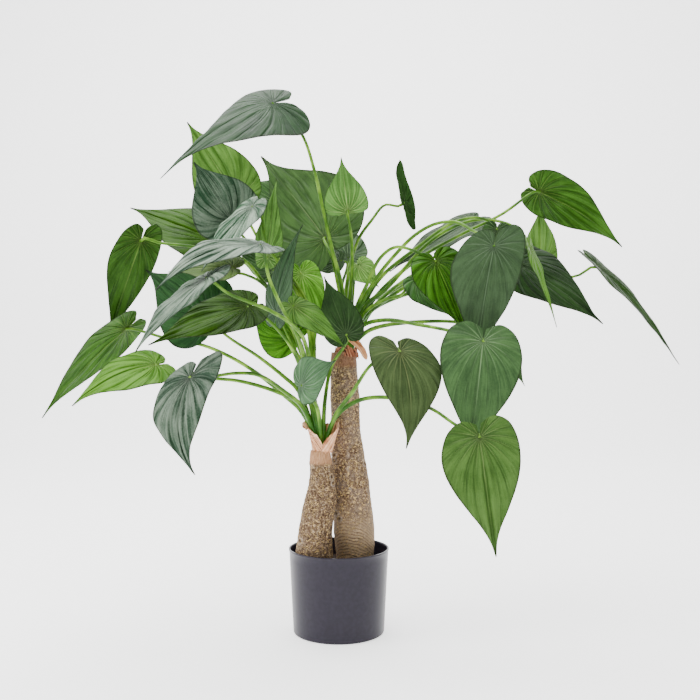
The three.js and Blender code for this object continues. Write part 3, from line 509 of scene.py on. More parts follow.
def bark_material(name, collar_from, rings_below, greyed, skin_tones):
    """Corky bark, grown in scurfy crumbs: brown with straw-coloured flecks, cracks darkened with
    painted shade, and greyed in patches, so it looks dry and rough; its raised ridge and knot rims
    are paler with a painted highlight. Above collar_from it is a smooth collar in skin_tones; below
    rings_below it is paler, with thin dark rings that arch round it."""
    material, add = new_material(name)
    place = add("TexCoord").outputs["Object"]
    spot = add("Attribute", attribute_name="bark").outputs["Vector"]
    height, ridge, pit = add("SeparateXYZ", {0: spot}).outputs
    phase = add("Attribute", attribute_name="ring").outputs["Fac"]

    # Stains over 22 mm, grain of 3 mm, scurf in curled strokes, pale specks, cracks between them
    # that take painted shade
    stain = add("TexNoise", {"Vector": place, "Scale": 1 / (22 * MM), "Detail": 3.0})
    grain = {"Vector": place, "Scale": 1 / (3.5 * MM), "Detail": 4.0, "Roughness": 0.62}
    grain = add("TexNoise", grain)
    flat = add("Mapping", {"Vector": place, "Scale": (1, 1, 1.5)})
    curl = add("TexNoise", {"Vector": flat, "Scale": 1 / (13 * MM), "Detail": 1.5})
    curl = add("Math", {0: curl, 1: 0.06}, operation="PINGPONG")
    broken = add("TexNoise", {"Vector": place, "Scale": 1 / (5 * MM), "Detail": 2.0})
    broken = add("MapRange", {0: broken, 1: 0.5, 2: 0.58, 3: 0.0, 4: 1.0}, **EASED)
    scurf = add("MapRange", {0: curl, 1: 0.012, 2: 0.03, 3: 1.0, 4: 0.0}, **EASED)
    scurf = add("Math", {0: scurf, 1: broken}, operation="MULTIPLY")
    shaded_cracks = add("MapRange", {0: curl, 1: 0.044, 2: 0.058, 3: 0.0, 4: 1.0}, **EASED)
    browns = ("#3A2A1C", "#604A35", "#80674E", "#9C8468", "#C9B290")
    browns = list(zip((0.36, 0.46, 0.54, 0.61, 0.68), browns))
    wood = add("ValToRGB", {0: grain}, stops=browns)
    grey = add("MapRange", {0: stain, 1: 0.4, 2: 0.62, 3: 0.0, 4: greyed}, **EASED)
    # Painted shade in the cracks beside the raised scurf
    dark = add("Math", {0: shaded_cracks, 1: 0.6}, operation="MULTIPLY")

    # Lower down it is worn to grey-beige between the thin dark rings of old leaves
    lower = add("Math", {0: stain, 1: 90.0, 2: height}, operation="MULTIPLY_ADD")
    bounds = {1: rings_below + 5, 2: rings_below + 85, 3: 0.8, 4: 0.0}
    lower = add("MapRange", {0: lower} | bounds, **EASED)
    wobble = add("Math", {0: stain, 1: 2.0, 2: phase}, operation="MULTIPLY_ADD")
    groove = add("Math", {0: wobble, 1: 0.5}, operation="PINGPONG")
    groove = add("MapRange", {0: groove, 1: 0.0, 2: 0.2, 3: 1.0, 4: 0.0}, **EASED)
    groove = add("Math", {0: groove, 1: lower}, operation="MULTIPLY")
    line = add("MapRange", {0: grain, 1: 0.3, 2: 0.65, 3: 1.0, 4: 0.45})
    line = add("Math", {0: line, 1: groove}, operation="MULTIPLY")
    # Painted highlight: the raised ridge and the knots' rims are made paler
    ridge_highlight = add("Math", {0: ridge, 1: grain}, operation="MULTIPLY")
    ridge_highlight = add("MapRange", {0: ridge_highlight, 1: 0.1, 2: 0.5, 3: 0.0, 4: 0.7})
    bare = add("Math", {0: lower, 1: -0.6, 2: 1.0}, operation="MULTIPLY_ADD")
    gold = add("Math", {0: scurf, 1: bare}, operation="MULTIPLY")
    gold = add("Math", {0: gold, 1: 0.9}, operation="MULTIPLY")

    # The collar is smooth with upright fibres; knots are dark in the middle
    collar = {0: height, 1: collar_from, 2: collar_from + 8, 3: 0.0, 4: 0.85}
    collar = add("MapRange", collar, **EASED)
    upright = add("Mapping", {"Vector": place, "Scale": (1, 1, 0.12)})
    fibre = add("TexNoise", {"Vector": upright, "Scale": 1 / (1.4 * MM), "Detail": 3.0})
    tan = add("ValToRGB", {0: fibre}, stops=list(zip((0.35, 0.5, 0.65), skin_tones)))
    colour = wood
    for amount, over in (
        (grey, "#857364"), (dark, "#33210F"), (lower, "#B59A7A"), (line, "#4A3723"),
        (ridge_highlight, "#B3A190"), (gold, "#DDB878"), (collar, tan), (pit, "#2A1D13"),
    ):
        colour = add("Mix", {0: amount, 6: colour, 7: over}, data_type="RGBA")

    relief = grain
    for part, weight in ((shaded_cracks, -0.8), (scurf, 0.6), (groove, -1.4)):
        relief = add("Math", {0: part, 1: weight, 2: relief}, operation="MULTIPLY_ADD")
    smooth = add("Math", {0: 1.0, 1: collar}, operation="SUBTRACT")
    relief = add("Math", {0: relief, 1: smooth}, operation="MULTIPLY")
    surface = {
        "Base Color": colour, "Roughness": 0.75, "IOR": 1.5, "Specular IOR Level": 0.25,
        "Normal": add("Bump", {"Strength": 1.0, "Distance": 1.6 * MM, "Height": relief}),
    }
    add("OutputMaterial", {"Surface": add("BsdfPrincipled", surface)})
    return material


def sheath_material(name, skin_tones):
    """Dead leaf sheath, dried to a fibrous paper in skin_tones from its dark strands to its pale
    ones: matt, with strands that run up it. The dark strands sink in the bump and are partly the
    paper's own colour, partly painted shade between the fibres."""
    material, add = new_material(name)
    place = add("TexCoord").outputs["Object"]
    spot = add("Attribute", attribute_name="sheath").outputs["Vector"]
    fibres = add("Mapping", {"Vector": spot, "Scale": (0.36, 0.016, 0.2)})
    strand = add("TexNoise", {"Vector": fibres, "Scale": 1.0, "Detail": 4.0})
    stain = add("TexNoise", {"Vector": place, "Scale": 1 / (12 * MM), "Detail": 3.0})
    mix = add("Math", {0: stain, 1: 0.3, 2: strand}, operation="MULTIPLY_ADD")
    mix = add("MapRange", {0: mix, 1: 0.5, 2: 0.82})
    colour = add("ValToRGB", {0: mix}, stops=list(zip((0.0, 0.2, 0.42, 0.7, 1.0), skin_tones)))
    surface = {
        "Base Color": colour, "Roughness": 0.7, "IOR": 1.45, "Specular IOR Level": 0.25,
        "Normal": add("Bump", {"Strength": 0.8, "Distance": 0.5 * MM, "Height": strand}),
    }
    add("OutputMaterial", {"Surface": add("BsdfPrincipled", surface)})
    return material


def pot_material():
    """Polypropylene with recycled carbon-grey pigment, injection moulded: satin, with a faint
    flow mottle and a fine grit from the mould."""
    material, add = new_material("moulded_polypropylene")
    place = add("TexCoord").outputs["Object"]
    cloud = add("TexNoise", {"Vector": place, "Scale": 1 / (7 * MM), "Detail": 4.0})
    grit = add("TexNoise", {"Vector": place, "Scale": 1 / (0.8 * MM), "Detail": 2.0})
    tone = add("MapRange", {0: cloud, 1: 0.35, 2: 0.65})
    colour = add("Mix", {0: tone, 6: "#1D1924", 7: "#221E2A"}, data_type="RGBA")
    gloss = add("MapRange", {0: cloud, 1: 0.3, 2: 0.7, 3: 0.28, 4: 0.34})
    surface = {
        "Base Color": colour, "Roughness": gloss, "IOR": 1.49, "Specular IOR Level": 0.22,
        "Normal": add("Bump", {"Strength": 0.25, "Distance": 0.1 * MM, "Height": grit}),
    }
    add("OutputMaterial", {"Surface": add("BsdfPrincipled", surface)})
    return material


def mix_material():
    """Potting mix: damp dark peat with crumbs of bark 3 mm wide, matt and uneven."""
    material, add = new_material("potting_mix")
    place = add("TexCoord").outputs["Object"]
    crumbs = add("TexVoronoi", {"Vector": place, "Scale": 1 / (3 * MM)})
    dust = add("TexNoise", {"Vector": place, "Scale": 1 / (1.2 * MM), "Detail": 4.0})
    shade = add("SeparateXYZ", {0: crumbs.outputs["Color"]})
    browns = [(0.0, "#120C08"), (0.5, "#241810"), (0.85, "#3A2919"), (1.0, "#5A4129")]
    colour = add("ValToRGB", {0: shade}, stops=browns)
    relief = add("Math", {0: crumbs, 1: dust}, operation="ADD")
    surface = {
        "Base Color": colour, "Roughness": 0.95, "IOR": 1.45, "Specular IOR Level": 0.5,
        "Normal": add("Bump", {"Strength": 1.0, "Distance": 1.0 * MM, "Height": relief}),
    }
    add("OutputMaterial", {"Surface": add("BsdfPrincipled", surface)})
    return material


def floor_material():
    """Matt pale studio paper with a faint even glow, as if lit from behind, so that shadows on it
    stay faint."""
    material, add = new_material("studio_paper")
    place = add("TexCoord").outputs["Object"]
    fibre = add("TexNoise", {"Vector": place, "Scale": 1 / (60 * MM), "Detail": 2.0})
    tone = add("MapRange", {0: fibre, 1: 0.3, 2: 0.7})
    surface = {
        "Base Color": add("Mix", {0: tone, 6: "#EAEAEA", 7: "#ECECEC"}, data_type="RGBA"),
        "Roughness": 0.9, "IOR": 1.45, "Specular IOR Level": 0.1,
        "Emission Color": "#FFFFFF", "Emission Strength": 1.3,
    }
    add("OutputMaterial", {"Surface": add("BsdfPrincipled", surface)})
    return material


# Leaf finishes by tone, above and then below: the skin, the darker green that is also painted shade
# in the creases beside the veins, the veins, the roughness and the wax
TOPS = {
    # The grey top skin's pale greens and veins are partly painted sheen: pale streaks that stand in
    # for the lamps' shine on the wax
    "grey": ("#8C9E8A", "#34503A", "#A8B6A4", 0.4, 0.14),
    "light": ("#628A40", "#436828", "#94B468", 0.45, 0.1),
    "mid": ("#4E7233", "#324F1D", "#7E9C5A", 0.45, 0.1),
    "dark": ("#3B5730", "#263C20", "#6E8860", 0.42, 0.12),
    "matt": ("#3B5730", "#263C20", "#6E8860", 0.7, 0.0),
    "olive": ("#566B3E", "#3B4E2A", "#909F66", 0.46, 0.1),
    "under": ("#4A7032", "#31511F", "#7E9C54", 0.44, 0.1),
    "teal": ("#456542", "#2D482D", "#7A9378", 0.42, 0.14),
    "bright": ("#467E14", "#2A5708", "#78A43C", 0.44, 0.1),
    "bluish": ("#425C3A", "#2E4428", "#708A68", 0.44, 0.13),
}
UNDERSIDES = {
    "grey": ("#45692C", "#33511F", "#7E9C5C", 0.5, 0.12),
    "light": ("#5F8A38", "#446A26", "#96B86C", 0.52, 0.1),
    "mid": ("#507830", "#395C21", "#88A860", 0.52, 0.1),
    "dark": ("#3C5C2A", "#2A431D", "#769656", 0.52, 0.1),
    "matt": ("#3C5C2A", "#2A431D", "#769656", 0.7, 0.0),
    "olive": ("#57742F", "#405821", "#8CA45F", 0.52, 0.1),
    "under": ("#426A22", "#2F5016", "#84A552", 0.5, 0.1),
    "teal": ("#436640", "#314F2F", "#7E9B6E", 0.5, 0.1),
    "bright": ("#4A7F1A", "#325E12", "#80AC4A", 0.5, 0.1),
    "bluish": ("#46683C", "#334F2C", "#7C986C", 0.5, 0.1),
}


# Shapes


def add_object(name, mesh, materials, node, smooth_angle=50):
    """Puts a finished mesh in the scene as a piece of the object."""
    for material in materials:
        mesh.materials.append(material)
    mesh.shade_smooth()
    mesh.set_sharp_from_angle(angle=smooth_angle * DEGREE)
    piece = bpy.data.objects.new(name, mesh)
    bpy.context.scene.collection.objects.link(piece)
    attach(piece, "root")
    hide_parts(node)


def mesh_of(bm, name):
    """The bmesh as a mesh, which then is freed."""
    mesh = bpy.data.meshes.new(name)
    bm.to_mesh(mesh)
    bm.free()
    return mesh


def thickened(bm, name, thick, materials=(0, 0)):
    """A sheet with a wall of that thickness about it, with other materials below and on the rim."""
    mesh = mesh_of(bm, name)
    sheet = bpy.data.objects.new(name + "_sheet", mesh)
    bpy.context.scene.collection.objects.link(sheet)
    wall = sheet.modifiers.new("wall", "SOLIDIFY")
    wall.thickness = thick
    wall.offset = 0
    wall.material_offset, wall.material_offset_rim = materials
    for slot in range(max(materials) + 1):
        mesh.materials.append(None)
    built = sheet.evaluated_get(bpy.context.evaluated_depsgraph_get())
    done = bpy.data.meshes.new_from_object(built)
    bpy.data.objects.remove(sheet)
    done.materials.clear()
    return done


def between(rows, place):
    """Rows at fractional places, on a smooth curve through them."""
    last = len(rows) - 1
    padded = np.vstack([2 * rows[0] - rows[1], rows, 2 * rows[-1] - rows[-2]])
    i = np.clip(np.floor(place).astype(int), 0, last - 1)
    t = (place - i)[:, None]
    p0, p1, p2, p3 = padded[i], padded[i + 1], padded[i + 2], padded[i + 3]
    bend, twist = 2 * p0 - 5 * p1 + 4 * p2 - p3, 3 * p1 - p0 - 3 * p2 + p3
    return 0.5 * (2 * p1 + (p2 - p0) * t + bend * t**2 + twist * t**3)


def unit(v):
    """Each vector at a length of one."""
    return v / np.linalg.norm(v, axis=-1, keepdims=True)


def hump(away, wide, power=2):
    """One at a place and less with the distance away from it, to nearly nothing past wide."""
    return math.exp(-((away / wide) ** power))


def blade_points(leaf, along, out):
    """Middle surface of a blade in mm, at places along the midrib and out from it."""
    joint, tip, face = (np.array(leaf[k], float) for k in ("joint", "tip", "face"))
    length = np.linalg.norm(tip - joint)
    ahead = (tip - joint) / length
    up = unit(face - ahead * face.dot(ahead))
    side = np.cross(ahead, up)
    bow = leaf.get("bow", LEAST_BOW) * DEGREE
    radius = length / (2 * math.sin(bow / 2))
    turn = bow * (along - 0.5)
    sin, cos = np.sin(turn)[:, None], np.cos(turn)[:, None]
    tangent = ahead * cos - up * sin
    lift = ahead * sin + up * cos
    sweep = leaf.get("sweep", 0) * 4 * along * (1 - along)
    point = joint + ahead * (length / 2 + radius * sin) + up * radius * (cos - math.cos(bow / 2))
    point = point + side * sweep[:, None]
    twist = (leaf.get("twist", 0) * DEGREE * along)[:, None]
    across = side * np.cos(twist) + np.cross(tangent, side) * np.sin(twist)
    above = lift * np.cos(twist) + np.cross(tangent, lift) * np.sin(twist)
    spread = np.abs(out) * leaf["wide"] / 2
    left, right = LIFTED.get(leaf["name"], (0, 0))
    lifted = np.where(out < 0, left, right)
    slope = leaf.get("fold", FOLD) + lifted - leaf.get("curl", CURL) * np.abs(out) / 2
    slope = slope * DEGREE
    waves = np.sin(2 * math.pi * (WAVES_ALONG * along + WAVE_SHIFT * np.sign(out)))
    point = point + across * (np.sign(out) * spread * np.cos(slope))[:, None]
    return point + above * (spread * np.sin(slope) + WAVE * out * out * waves)[:, None]


def blade_normals(leaf, along, out, step=0.01):
    """Way a blade's top side looks at each place."""
    inner = np.where(out > 0, out - step, out)
    onward = blade_points(leaf, along + step, inner) - blade_points(leaf, along - step, inner)
    outward = blade_points(leaf, along, inner + step) - blade_points(leaf, along, inner)
    return unit(np.cross(outward, onward))


def waver(*places):
    """Smooth noise at many places, each with a value for each axis."""
    return np.array([noise.noise(Vector(place)) for place in zip(*places)])


def blade_outline(leaf, share, row, seed):
    """Where the points of a flat blade lie along the midrib and out from it. Share is how far out
    they are between the midrib and the margin, left of it below nothing."""
    name, away, left_half = leaf["name"], np.abs(share), share < 0
    rib, back, margin = between(ROWS, row).T
    lobe, lean = leaf.get("lobe", 1), leaf.get("lean", 0)
    left, right, left_on, right_on = UNEVEN.get(name, (1, 1, 1, 1))
    onwards = np.clip((row - 2.5) / 3, 0, 1)
    left, right = left + (left_on - left) * onwards, right + (right_on - right) * onwards
    wander = waver(row / WANDER_ROWS, np.where(share > 0, 2, -2), np.full(len(row), seed))
    margin = margin * (1 + RAGGED * wander) * np.where(left_half, left, right)
    margin = margin * (1 - SHUT.get(name, SHUT_MOST) * np.clip(1 - row, 0, 1))
    left, right = LOBES.get(name, (1, 1))
    back = np.where(back < 0, back * np.where(left_half, left, right), back)
    sag = VEIN_SAG * (1 - row / (len(ROWS) - 1)) * np.sin(math.pi * away)
    tilt = lean * margin * share * np.clip(1 - 2 * np.clip(back, 0, None), 0, None)
    back = np.where(back < 0, back * lobe, back)
    return rib + (back - rib) * away - sag * lobe - tilt, margin * share


def make_blade(leaf, materials):
    """A leaf's blade: quilted between its side veins and sunk along its midrib."""
    bm = bmesh.new()
    bmesh.ops.create_grid(bm, x_segments=BLADE_COLUMNS, y_segments=BLADE_ROWS, size=1)
    flat = np.array([v.co for v in bm.verts])
    share, row = flat[:, 0], (flat[:, 1] + 1) / 2 * (len(ROWS) - 1)
    name, away = leaf["name"], np.abs(share)
    seed = int(name) * LEAVES_APART
    along, out = blade_outline(leaf, share, row, seed)
    points = blade_points(leaf, along, out)
    normals = blade_normals(leaf, along, out)

    # Side veins leave the joint like spokes and arch over until they run in to the tip
    length = np.linalg.norm(np.array(leaf["tip"], float) - np.array(leaf["joint"], float))
    across, onward = np.abs(out) * leaf["wide"] / 2, along * length
    reach, rest = np.hypot(across, onward), np.hypot(across, length - onward)
    arch = np.arctan2(across, np.maximum(length - onward, 0.01))
    spoke = np.arctan2(across, onward) + VEIN_ARCH * arch
    breadth = reach * rest / length
    pleated = PLEATED.get(name, 1)
    seeds = np.full(len(row), seed)
    uneven = waver(spoke * 2, reach / QUILT_APART, seeds)
    swell = QUILT * np.abs(np.sin(math.pi * spoke / VEIN_SPREAD)) * (0.8 + uneven)
    pleats = waver(spoke * 7, reach / PLEAT_APART, seeds + 9)
    rising = np.clip(breadth / SWELL_FROM, 0, 1) * (1 - away**6)
    swell = pleated * (swell + PLEAT * pleats) * rising
    swell = swell * np.clip(leaf["wide"] / SWELL_WIDTH, 0.4, 1)
    sunk = np.exp(-((across / MIDRIB_WIDE) ** 2)) * np.clip(1.1 - along, 0, 1)
    ripple = waver(*(points / RIPPLE_APART).T) * np.clip(reach / SWELL_FROM, 0, 1)
    swell = swell - MIDRIB_SINK * sunk + RIPPLE * ripple
    points = points + normals * swell[:, None]

    kept = [bm.verts.layers.float_vector.new(layer) for layer in ("blade", "vein", "leaf")]
    stronger = bm.verts.layers.float.new("lush")
    depths, lights = np.full(len(row), pleated), np.full(len(row), LIGHTNESS_AND_PAINTED_LIGHT.get(name, 1))
    values = ((along, depths, away), (spoke, reach, across), (lights, breadth, seeds))
    for i, v in enumerate(bm.verts):
        v.co = points[i] * MM
        for layer, value in zip(kept, values):
            v[layer] = [part[i] for part in value]
        v[stronger] = LUSH.get(name, LUSH_MOST)
    mesh = thickened(bm, f"blade_{name}", BLADE_THICK * MM, materials=(1, 1))
    add_object(f"blade_{name}", mesh, materials, f"leaf_{name}")


def curve_through(points, steps):
    """Evenly spaced points on a centripetal curve through the given ones."""
    points = [Vector(p) for p in points]
    points = [2 * points[0] - points[1], *points, 2 * points[-1] - points[-2]]
    dense = []
    for i in range(1, len(points) - 2):
        p0, p1, p2, p3 = points[i - 1 : i + 3]
        t0, t1 = 0.0, (p1 - p0).length ** 0.5
        t2 = t1 + (p2 - p1).length ** 0.5
        t3 = t2 + (p3 - p2).length ** 0.5
        for k in range(SPAN_STEPS):
            t = t1 + (t2 - t1) * k / SPAN_STEPS
            a1 = p0 * ((t1 - t) / (t1 - t0)) + p1 * ((t - t0) / (t1 - t0))
            a2 = p1 * ((t2 - t) / (t2 - t1)) + p2 * ((t - t1) / (t2 - t1))
            a3 = p2 * ((t3 - t) / (t3 - t2)) + p3 * ((t - t2) / (t3 - t2))
            b1 = a1 * ((t2 - t) / (t2 - t0)) + a2 * ((t - t0) / (t2 - t0))
            b2 = a2 * ((t3 - t) / (t3 - t1)) + a3 * ((t - t1) / (t3 - t1))
            dense.append(b1 * ((t2 - t) / (t2 - t1)) + b2 * ((t - t1) / (t2 - t1)))
    dense.append(points[-2])
    runs = np.cumsum([0] + [(b - a).length for a, b in zip(dense, dense[1:])])
    even = np.linspace(0, runs[-1], steps + 1)
    spots = np.array([np.interp(even, runs, [p[axis] for p in dense]) for axis in range(3)]).T
    return [Vector(p) for p in spots]


def tube(points, radii, sides, layer_name):
    """A bmesh of a closed round bar along points in mm; each vertex keeps its run, its turn around
    and its share of the length."""
    bm = bmesh.new()
    layer = bm.verts.layers.float_vector.new(layer_name)
    turned = (points[1] - points[0]).normalized().to_track_quat("Z", "Y")
    at = Matrix.LocRotScale(points[0] * MM, turned, Vector((radii[0],) * 3) * MM)
    ring = bmesh.ops.create_circle(bm, cap_ends=True, segments=sides, radius=1)["verts"]
    for j, v in enumerate(ring):
        v[layer] = (0, j / sides, 0)
    bmesh.ops.reverse_faces(bm, faces=bm.faces)
    bmesh.ops.transform(bm, matrix=at, verts=ring)
    edges = list(bm.edges)
    run = 0
    for i in range(1, len(points)):
        ahead = (points[min(i + 1, len(points) - 1)] - points[i - 1]).normalized()
        turned = (turned @ Vector((0, 0, 1))).rotation_difference(ahead) @ turned
        run += (points[i] - points[i - 1]).length
        new = Matrix.LocRotScale(points[i] * MM, turned, Vector((radii[i],) * 3) * MM)
        made = bmesh.ops.extrude_edge_only(bm, edges=edges)["geom"]
        ring = [g for g in made if isinstance(g, bmesh.types.BMVert)]
        edges = [g for g in made if isinstance(g, bmesh.types.BMEdge)]
        edges = [edge for edge in edges if all(v in ring for v in edge.verts)]
        bmesh.ops.transform(bm, matrix=new @ at.inverted(), verts=ring)
        for v in ring:
            v[layer] = (run, v[layer][1], i / (len(points) - 1))
        at = new
    bmesh.ops.edgeloop_fill(bm, edges=edges)
    bmesh.ops.recalc_face_normals(bm, faces=bm.faces)
    return bm


def add_into(bm, part):
    """Adds one bmesh to another and frees it."""
    mesh = mesh_of(part, "part")
    bm.from_mesh(mesh)
    bpy.data.meshes.remove(mesh)


def around(crown, radius, angle, height):
    """The place at that radius, angle and height about the middle of a crown."""
    x, y = radius * math.cos(angle), radius * math.sin(angle)
    return Vector((crown["x"] + x, crown["y"] + y, crown["z"] + height))


def petiole_points(leaf):
    """A petiole's way from its crown to just under the blade's joint."""
    crown = CROWNS[leaf["crown"]]
    joint, tip = Vector(leaf["joint"]), Vector(leaf["tip"])
    normal = Vector(blade_normals(leaf, np.array([0.02]), np.array([0.0]))[0])
    vias = [Vector(p) for p in leaf["stem"]]
    turn = math.atan2(vias[0].y - crown["y"], vias[0].x - crown["x"])
    base = around(crown, PETIOLE_FOOT_OUT * crown["r"], turn, PETIOLE_FOOT_UP)
    neck = joint - normal * NECK_DROP + (joint - tip).normalized() * NECK_BACK
    return [base, *vias, neck, joint - normal * BLADE_THICK / 2]


def make_petioles(name):
    """All petioles of one crown and the bundle of bases that they grow from."""
    crown = CROWNS[name]
    bm = bmesh.new()
    bm.verts.layers.float_vector.new("stalk")
    shares = [i / PETIOLE_STEPS for i in range(PETIOLE_STEPS + 1)]
    slim = PETIOLE_BASE_RADIUS - PETIOLE_END_RADIUS
    swollen = [max(0, share - PETIOLE_SWELL_FROM) / (1 - PETIOLE_SWELL_FROM) for share in shares]
    radii = [PETIOLE_BASE_RADIUS - slim * s + PETIOLE_SWELL * w for s, w in zip(shares, swollen)]
    for leaf in (one for one in LEAVES if one["crown"] == name):
        points = curve_through(petiole_points(leaf), PETIOLE_STEPS)
        add_into(bm, tube(points, radii, PETIOLE_SIDES, "stalk"))

    # The bundle of bases, which thins upwards
    heights = [k / 10 for k in range(11)]
    spine = [around(crown, 0, 0, 0.3 + crown["top"] * h) for h in heights]
    radii = [crown["r"] * (1 - 0.75 * h**1.6) for h in heights]
    add_into(bm, tube(spine, radii, 24, "stalk"))
    mesh = mesh_of(bm, f"stalks_{name}")
    add_object(f"stalks_{name}", mesh, [petiole_skin], f"petioles_{name}")


def bark_relief(kind, angle, height, spot):
    """How far the bark stands out in mm, how far a place is ridge, which takes a painted highlight,
    and dark pit, and which of the arching rings it is on."""
    ring = (height - RING_ARCH * math.cos(angle + RING_TURN)) / RING_STEP
    crumbs = noise.noise(spot / CRUMBS_APART) + 0.6 * noise.noise(spot / CLODS_APART)
    bulge = noise.noise(spot / BULGES_APART)
    ridge = pit = 0.0
    if kind == "tall":
        # Its crumbs are worn finer low down, and the ridge wavers on its way up
        low = min(1, max(0, (235 - height) / 40))
        out = (0.9 - 0.5 * low) * crumbs + 1.4 * bulge
        front = angle + math.pi / 2 - 0.16 * math.sin(height / 25)
        ridge = hump(front, RIDGE["wide"]) * hump(height - RIDGE["height"], RIDGE["tall"], 4)
        hollow = hump(front + HOLLOW["beside"], HOLLOW["wide"])
        hollow *= hump(height - HOLLOW["height"], HOLLOW["tall"], 4)
        out += RIDGE["out"] * ridge + HOLLOW["out"] * hollow + 1.2 * max(0, -math.cos(angle)) ** 3
        ridge *= max(0, 0.4 + 1.3 * noise.noise(spot / 11))
    else:
        # The collar at its top is smoother and stands out a little
        collar = min(1, max(0, (height - 296) / 8))
        out = crumbs * (1 - 0.7 * collar) + 1.2 * bulge + 0.8 + 1.4 * collar
    swell = SWELLINGS[kind]
    swollen = swell["out"] * max(0, math.cos(angle - swell["angle"])) ** 3
    out += swollen * hump(height - swell["height"], swell["tall"], 4)
    for turn, place in KNOTS[kind]:
        near = math.hypot((angle - turn) * KNOT_TURN, height - place)
        pit = max(pit, 0.6 * hump(near, KNOT["dark"]))
        ridge = max(ridge, hump(near - KNOT["pale"], KNOT["pale_wide"]))
        out += KNOT["high"] * hump(near - KNOT["rim"], KNOT["rim_wide"])
        out -= KNOT["deep"] * hump(near, KNOT["pit"])
    return out, ridge, pit, ring


def make_trunk(kind, rings, material):
    """A trunk with its bark in relief, from its foot in the potting mix to its top."""
    foot, top = rings[0][0] - ROOT_DEPTH, rings[-1][0]
    count = int((top - foot) / TRUNK_STEP)
    heights = [foot + (top - foot) * k / count for k in range(count + 1)]
    levels, *known = np.array(rings, float).T
    across = [[float(np.interp(z, levels, part)) for part in known] for z in heights]
    spine = [Vector((x, y, z)) for (x, y, _), z in zip(across, heights)]
    bm = tube(spine, [r for _, _, r in across], TRUNK_SIDES, "bark")
    layer = bm.verts.layers.float_vector["bark"]
    ringed = bm.verts.layers.float.new("ring")
    for v in bm.verts:
        spot = v.co / MM
        x, y = (np.interp(spot.z, levels, part) for part in known[:2])
        out = Vector((spot.x - x, spot.y - y, 0))
        relief, ridge, pit, ring = bark_relief(kind, math.atan2(out.y, out.x), spot.z, spot)
        bared = min(1, max(0, (spot.z - SOIL_TOP) / BARK_FROM + 1))
        v.co += out.normalized() * (relief * bared * MM)
        v[layer] = (spot.z, ridge * bared, pit * bared)
        v[ringed] = ring
    mesh = mesh_of(bm, f"bark_{kind}")
    add_object(f"bark_{kind}", mesh, [material], f"trunk_{kind}", 80)


def make_sheath(name, kind, form, rule, columns, rows, material):
    """A dry sheath around a crown: rule gives the radius and height of a place on its form."""
    crown = CROWNS[kind]
    bm = bmesh.new()
    bmesh.ops.create_grid(bm, x_segments=columns, y_segments=rows, size=1)
    layer = bm.verts.layers.float_vector.new("sheath")
    for v in bm.verts:
        share, up = (v.co.x + 1) / 2, (v.co.y + 1) / 2
        angle = (form["start"] + (form["end"] - form["start"]) * share) * DEGREE
        radius, height = rule(form, share, up)
        radius += crown["r"] + SHEATH_GRAIN * up * noise.noise(Vector((share * 40, up * 2, 5)))
        v.co = around(crown, radius, angle, 0.6 + height) * MM
        v[layer] = (angle * radius, height, share)
    mesh = thickened(bm, name, SHEATH_THICK * MM)
    add_object(name, mesh, [material], f"sheath_{kind}")


def cup(form, share, up):
    """The short crown's cup: low in front, with a scroll on its left and a loose flap on its
    right."""
    middle = max(0, math.sin(math.pi * share))
    left, right = hump(share - 0.75, 0.1), hump(share - 0.15, 0.12)
    ragged = 1 + 0.1 * noise.noise(Vector((share * 24, 0, 1)))
    ragged += 0.07 * noise.noise(Vector((share * 80, 0, 2)))
    wall = form["rise"] * middle**0.7 * (1 - form["dip"] * middle**6)
    height = (form["low"] + wall + form["left"] * left) * ragged
    rolled = max(0, up - 0.7) / 0.3
    curl = form["curl"] * DEGREE * rolled * left
    radius = form["foot"] + form["flare"] * up**1.3 + form["lean"] * left * min(up, 0.8) ** 1.3
    radius += form["flap"] * right * up**0.5 + form["scroll"] * math.sin(curl)
    hang = form["hang"] * (0.6 + noise.noise(Vector((share * 45, 0, 7)))) * (1 - up) ** 4
    rise = height * (up - 0.25 * left * rolled)
    return radius, rise - form["scroll"] * (1 - math.cos(curl)) - hang


def remnant(form, share, up):
    """The ragged ring around the trunk's top at the foot of the tall crown."""
    jag = math.sin(23 * share) + 0.7 * math.sin(41 * share)
    jag += 1.6 * noise.noise(Vector((share * 30, 0, 3)))
    height = form["high"] + form["ragged"] * jag
    below = form["below"] * (0.7 + 0.8 * noise.noise(Vector((share * 38, 0, 8))))
    radius = form["foot"] - form["draw"] * up
    radius += 0.8 * noise.noise(Vector((share * 30, up * 3, 4)))
    return radius, max(4, height) * up - below * (1 - up)


def make_flap(name, node, material):
    """The dead strip that leans out of the tall crown in front and hangs over to the right."""
    bm = bmesh.new()
    bmesh.ops.create_grid(bm, x_segments=14, y_segments=26, size=1)
    layer = bm.verts.layers.float_vector.new("sheath")
    start, end = Vector(FLAP["start"]), Vector(FLAP["end"])
    length = (end - start).length
    across = (end - start).normalized().cross(Vector((0, 1, 0))).normalized()
    for v in bm.verts:
        side, run = v.co.x, (v.co.y + 1) / 2
        rounded = max(0, (run - FLAP["round"]) / (1 - FLAP["round"]))
        half = FLAP["wide"] / 2 * (1 - FLAP["narrow"] * run) * (1 - rounded**2.5) ** 0.5
        half *= 1 + 0.12 * noise.noise(Vector((run * 7, side, 2)))
        arched = FLAP["arch"] * math.sin(math.pi * run)
        dished = FLAP["dish"] * (1 - side * side)
        dished += 0.5 * noise.noise(Vector((side * 3, run * 2, 9)))
        spot = start.lerp(end, run) + across * (side * max(half, 0.4) + arched)
        v.co = (spot + Vector((0, -dished, 0))) * MM
        v[layer] = (side * half, run * length, run)
    mesh = thickened(bm, name, SHEATH_THICK * MM)
    add_object(name, mesh, [material], node)


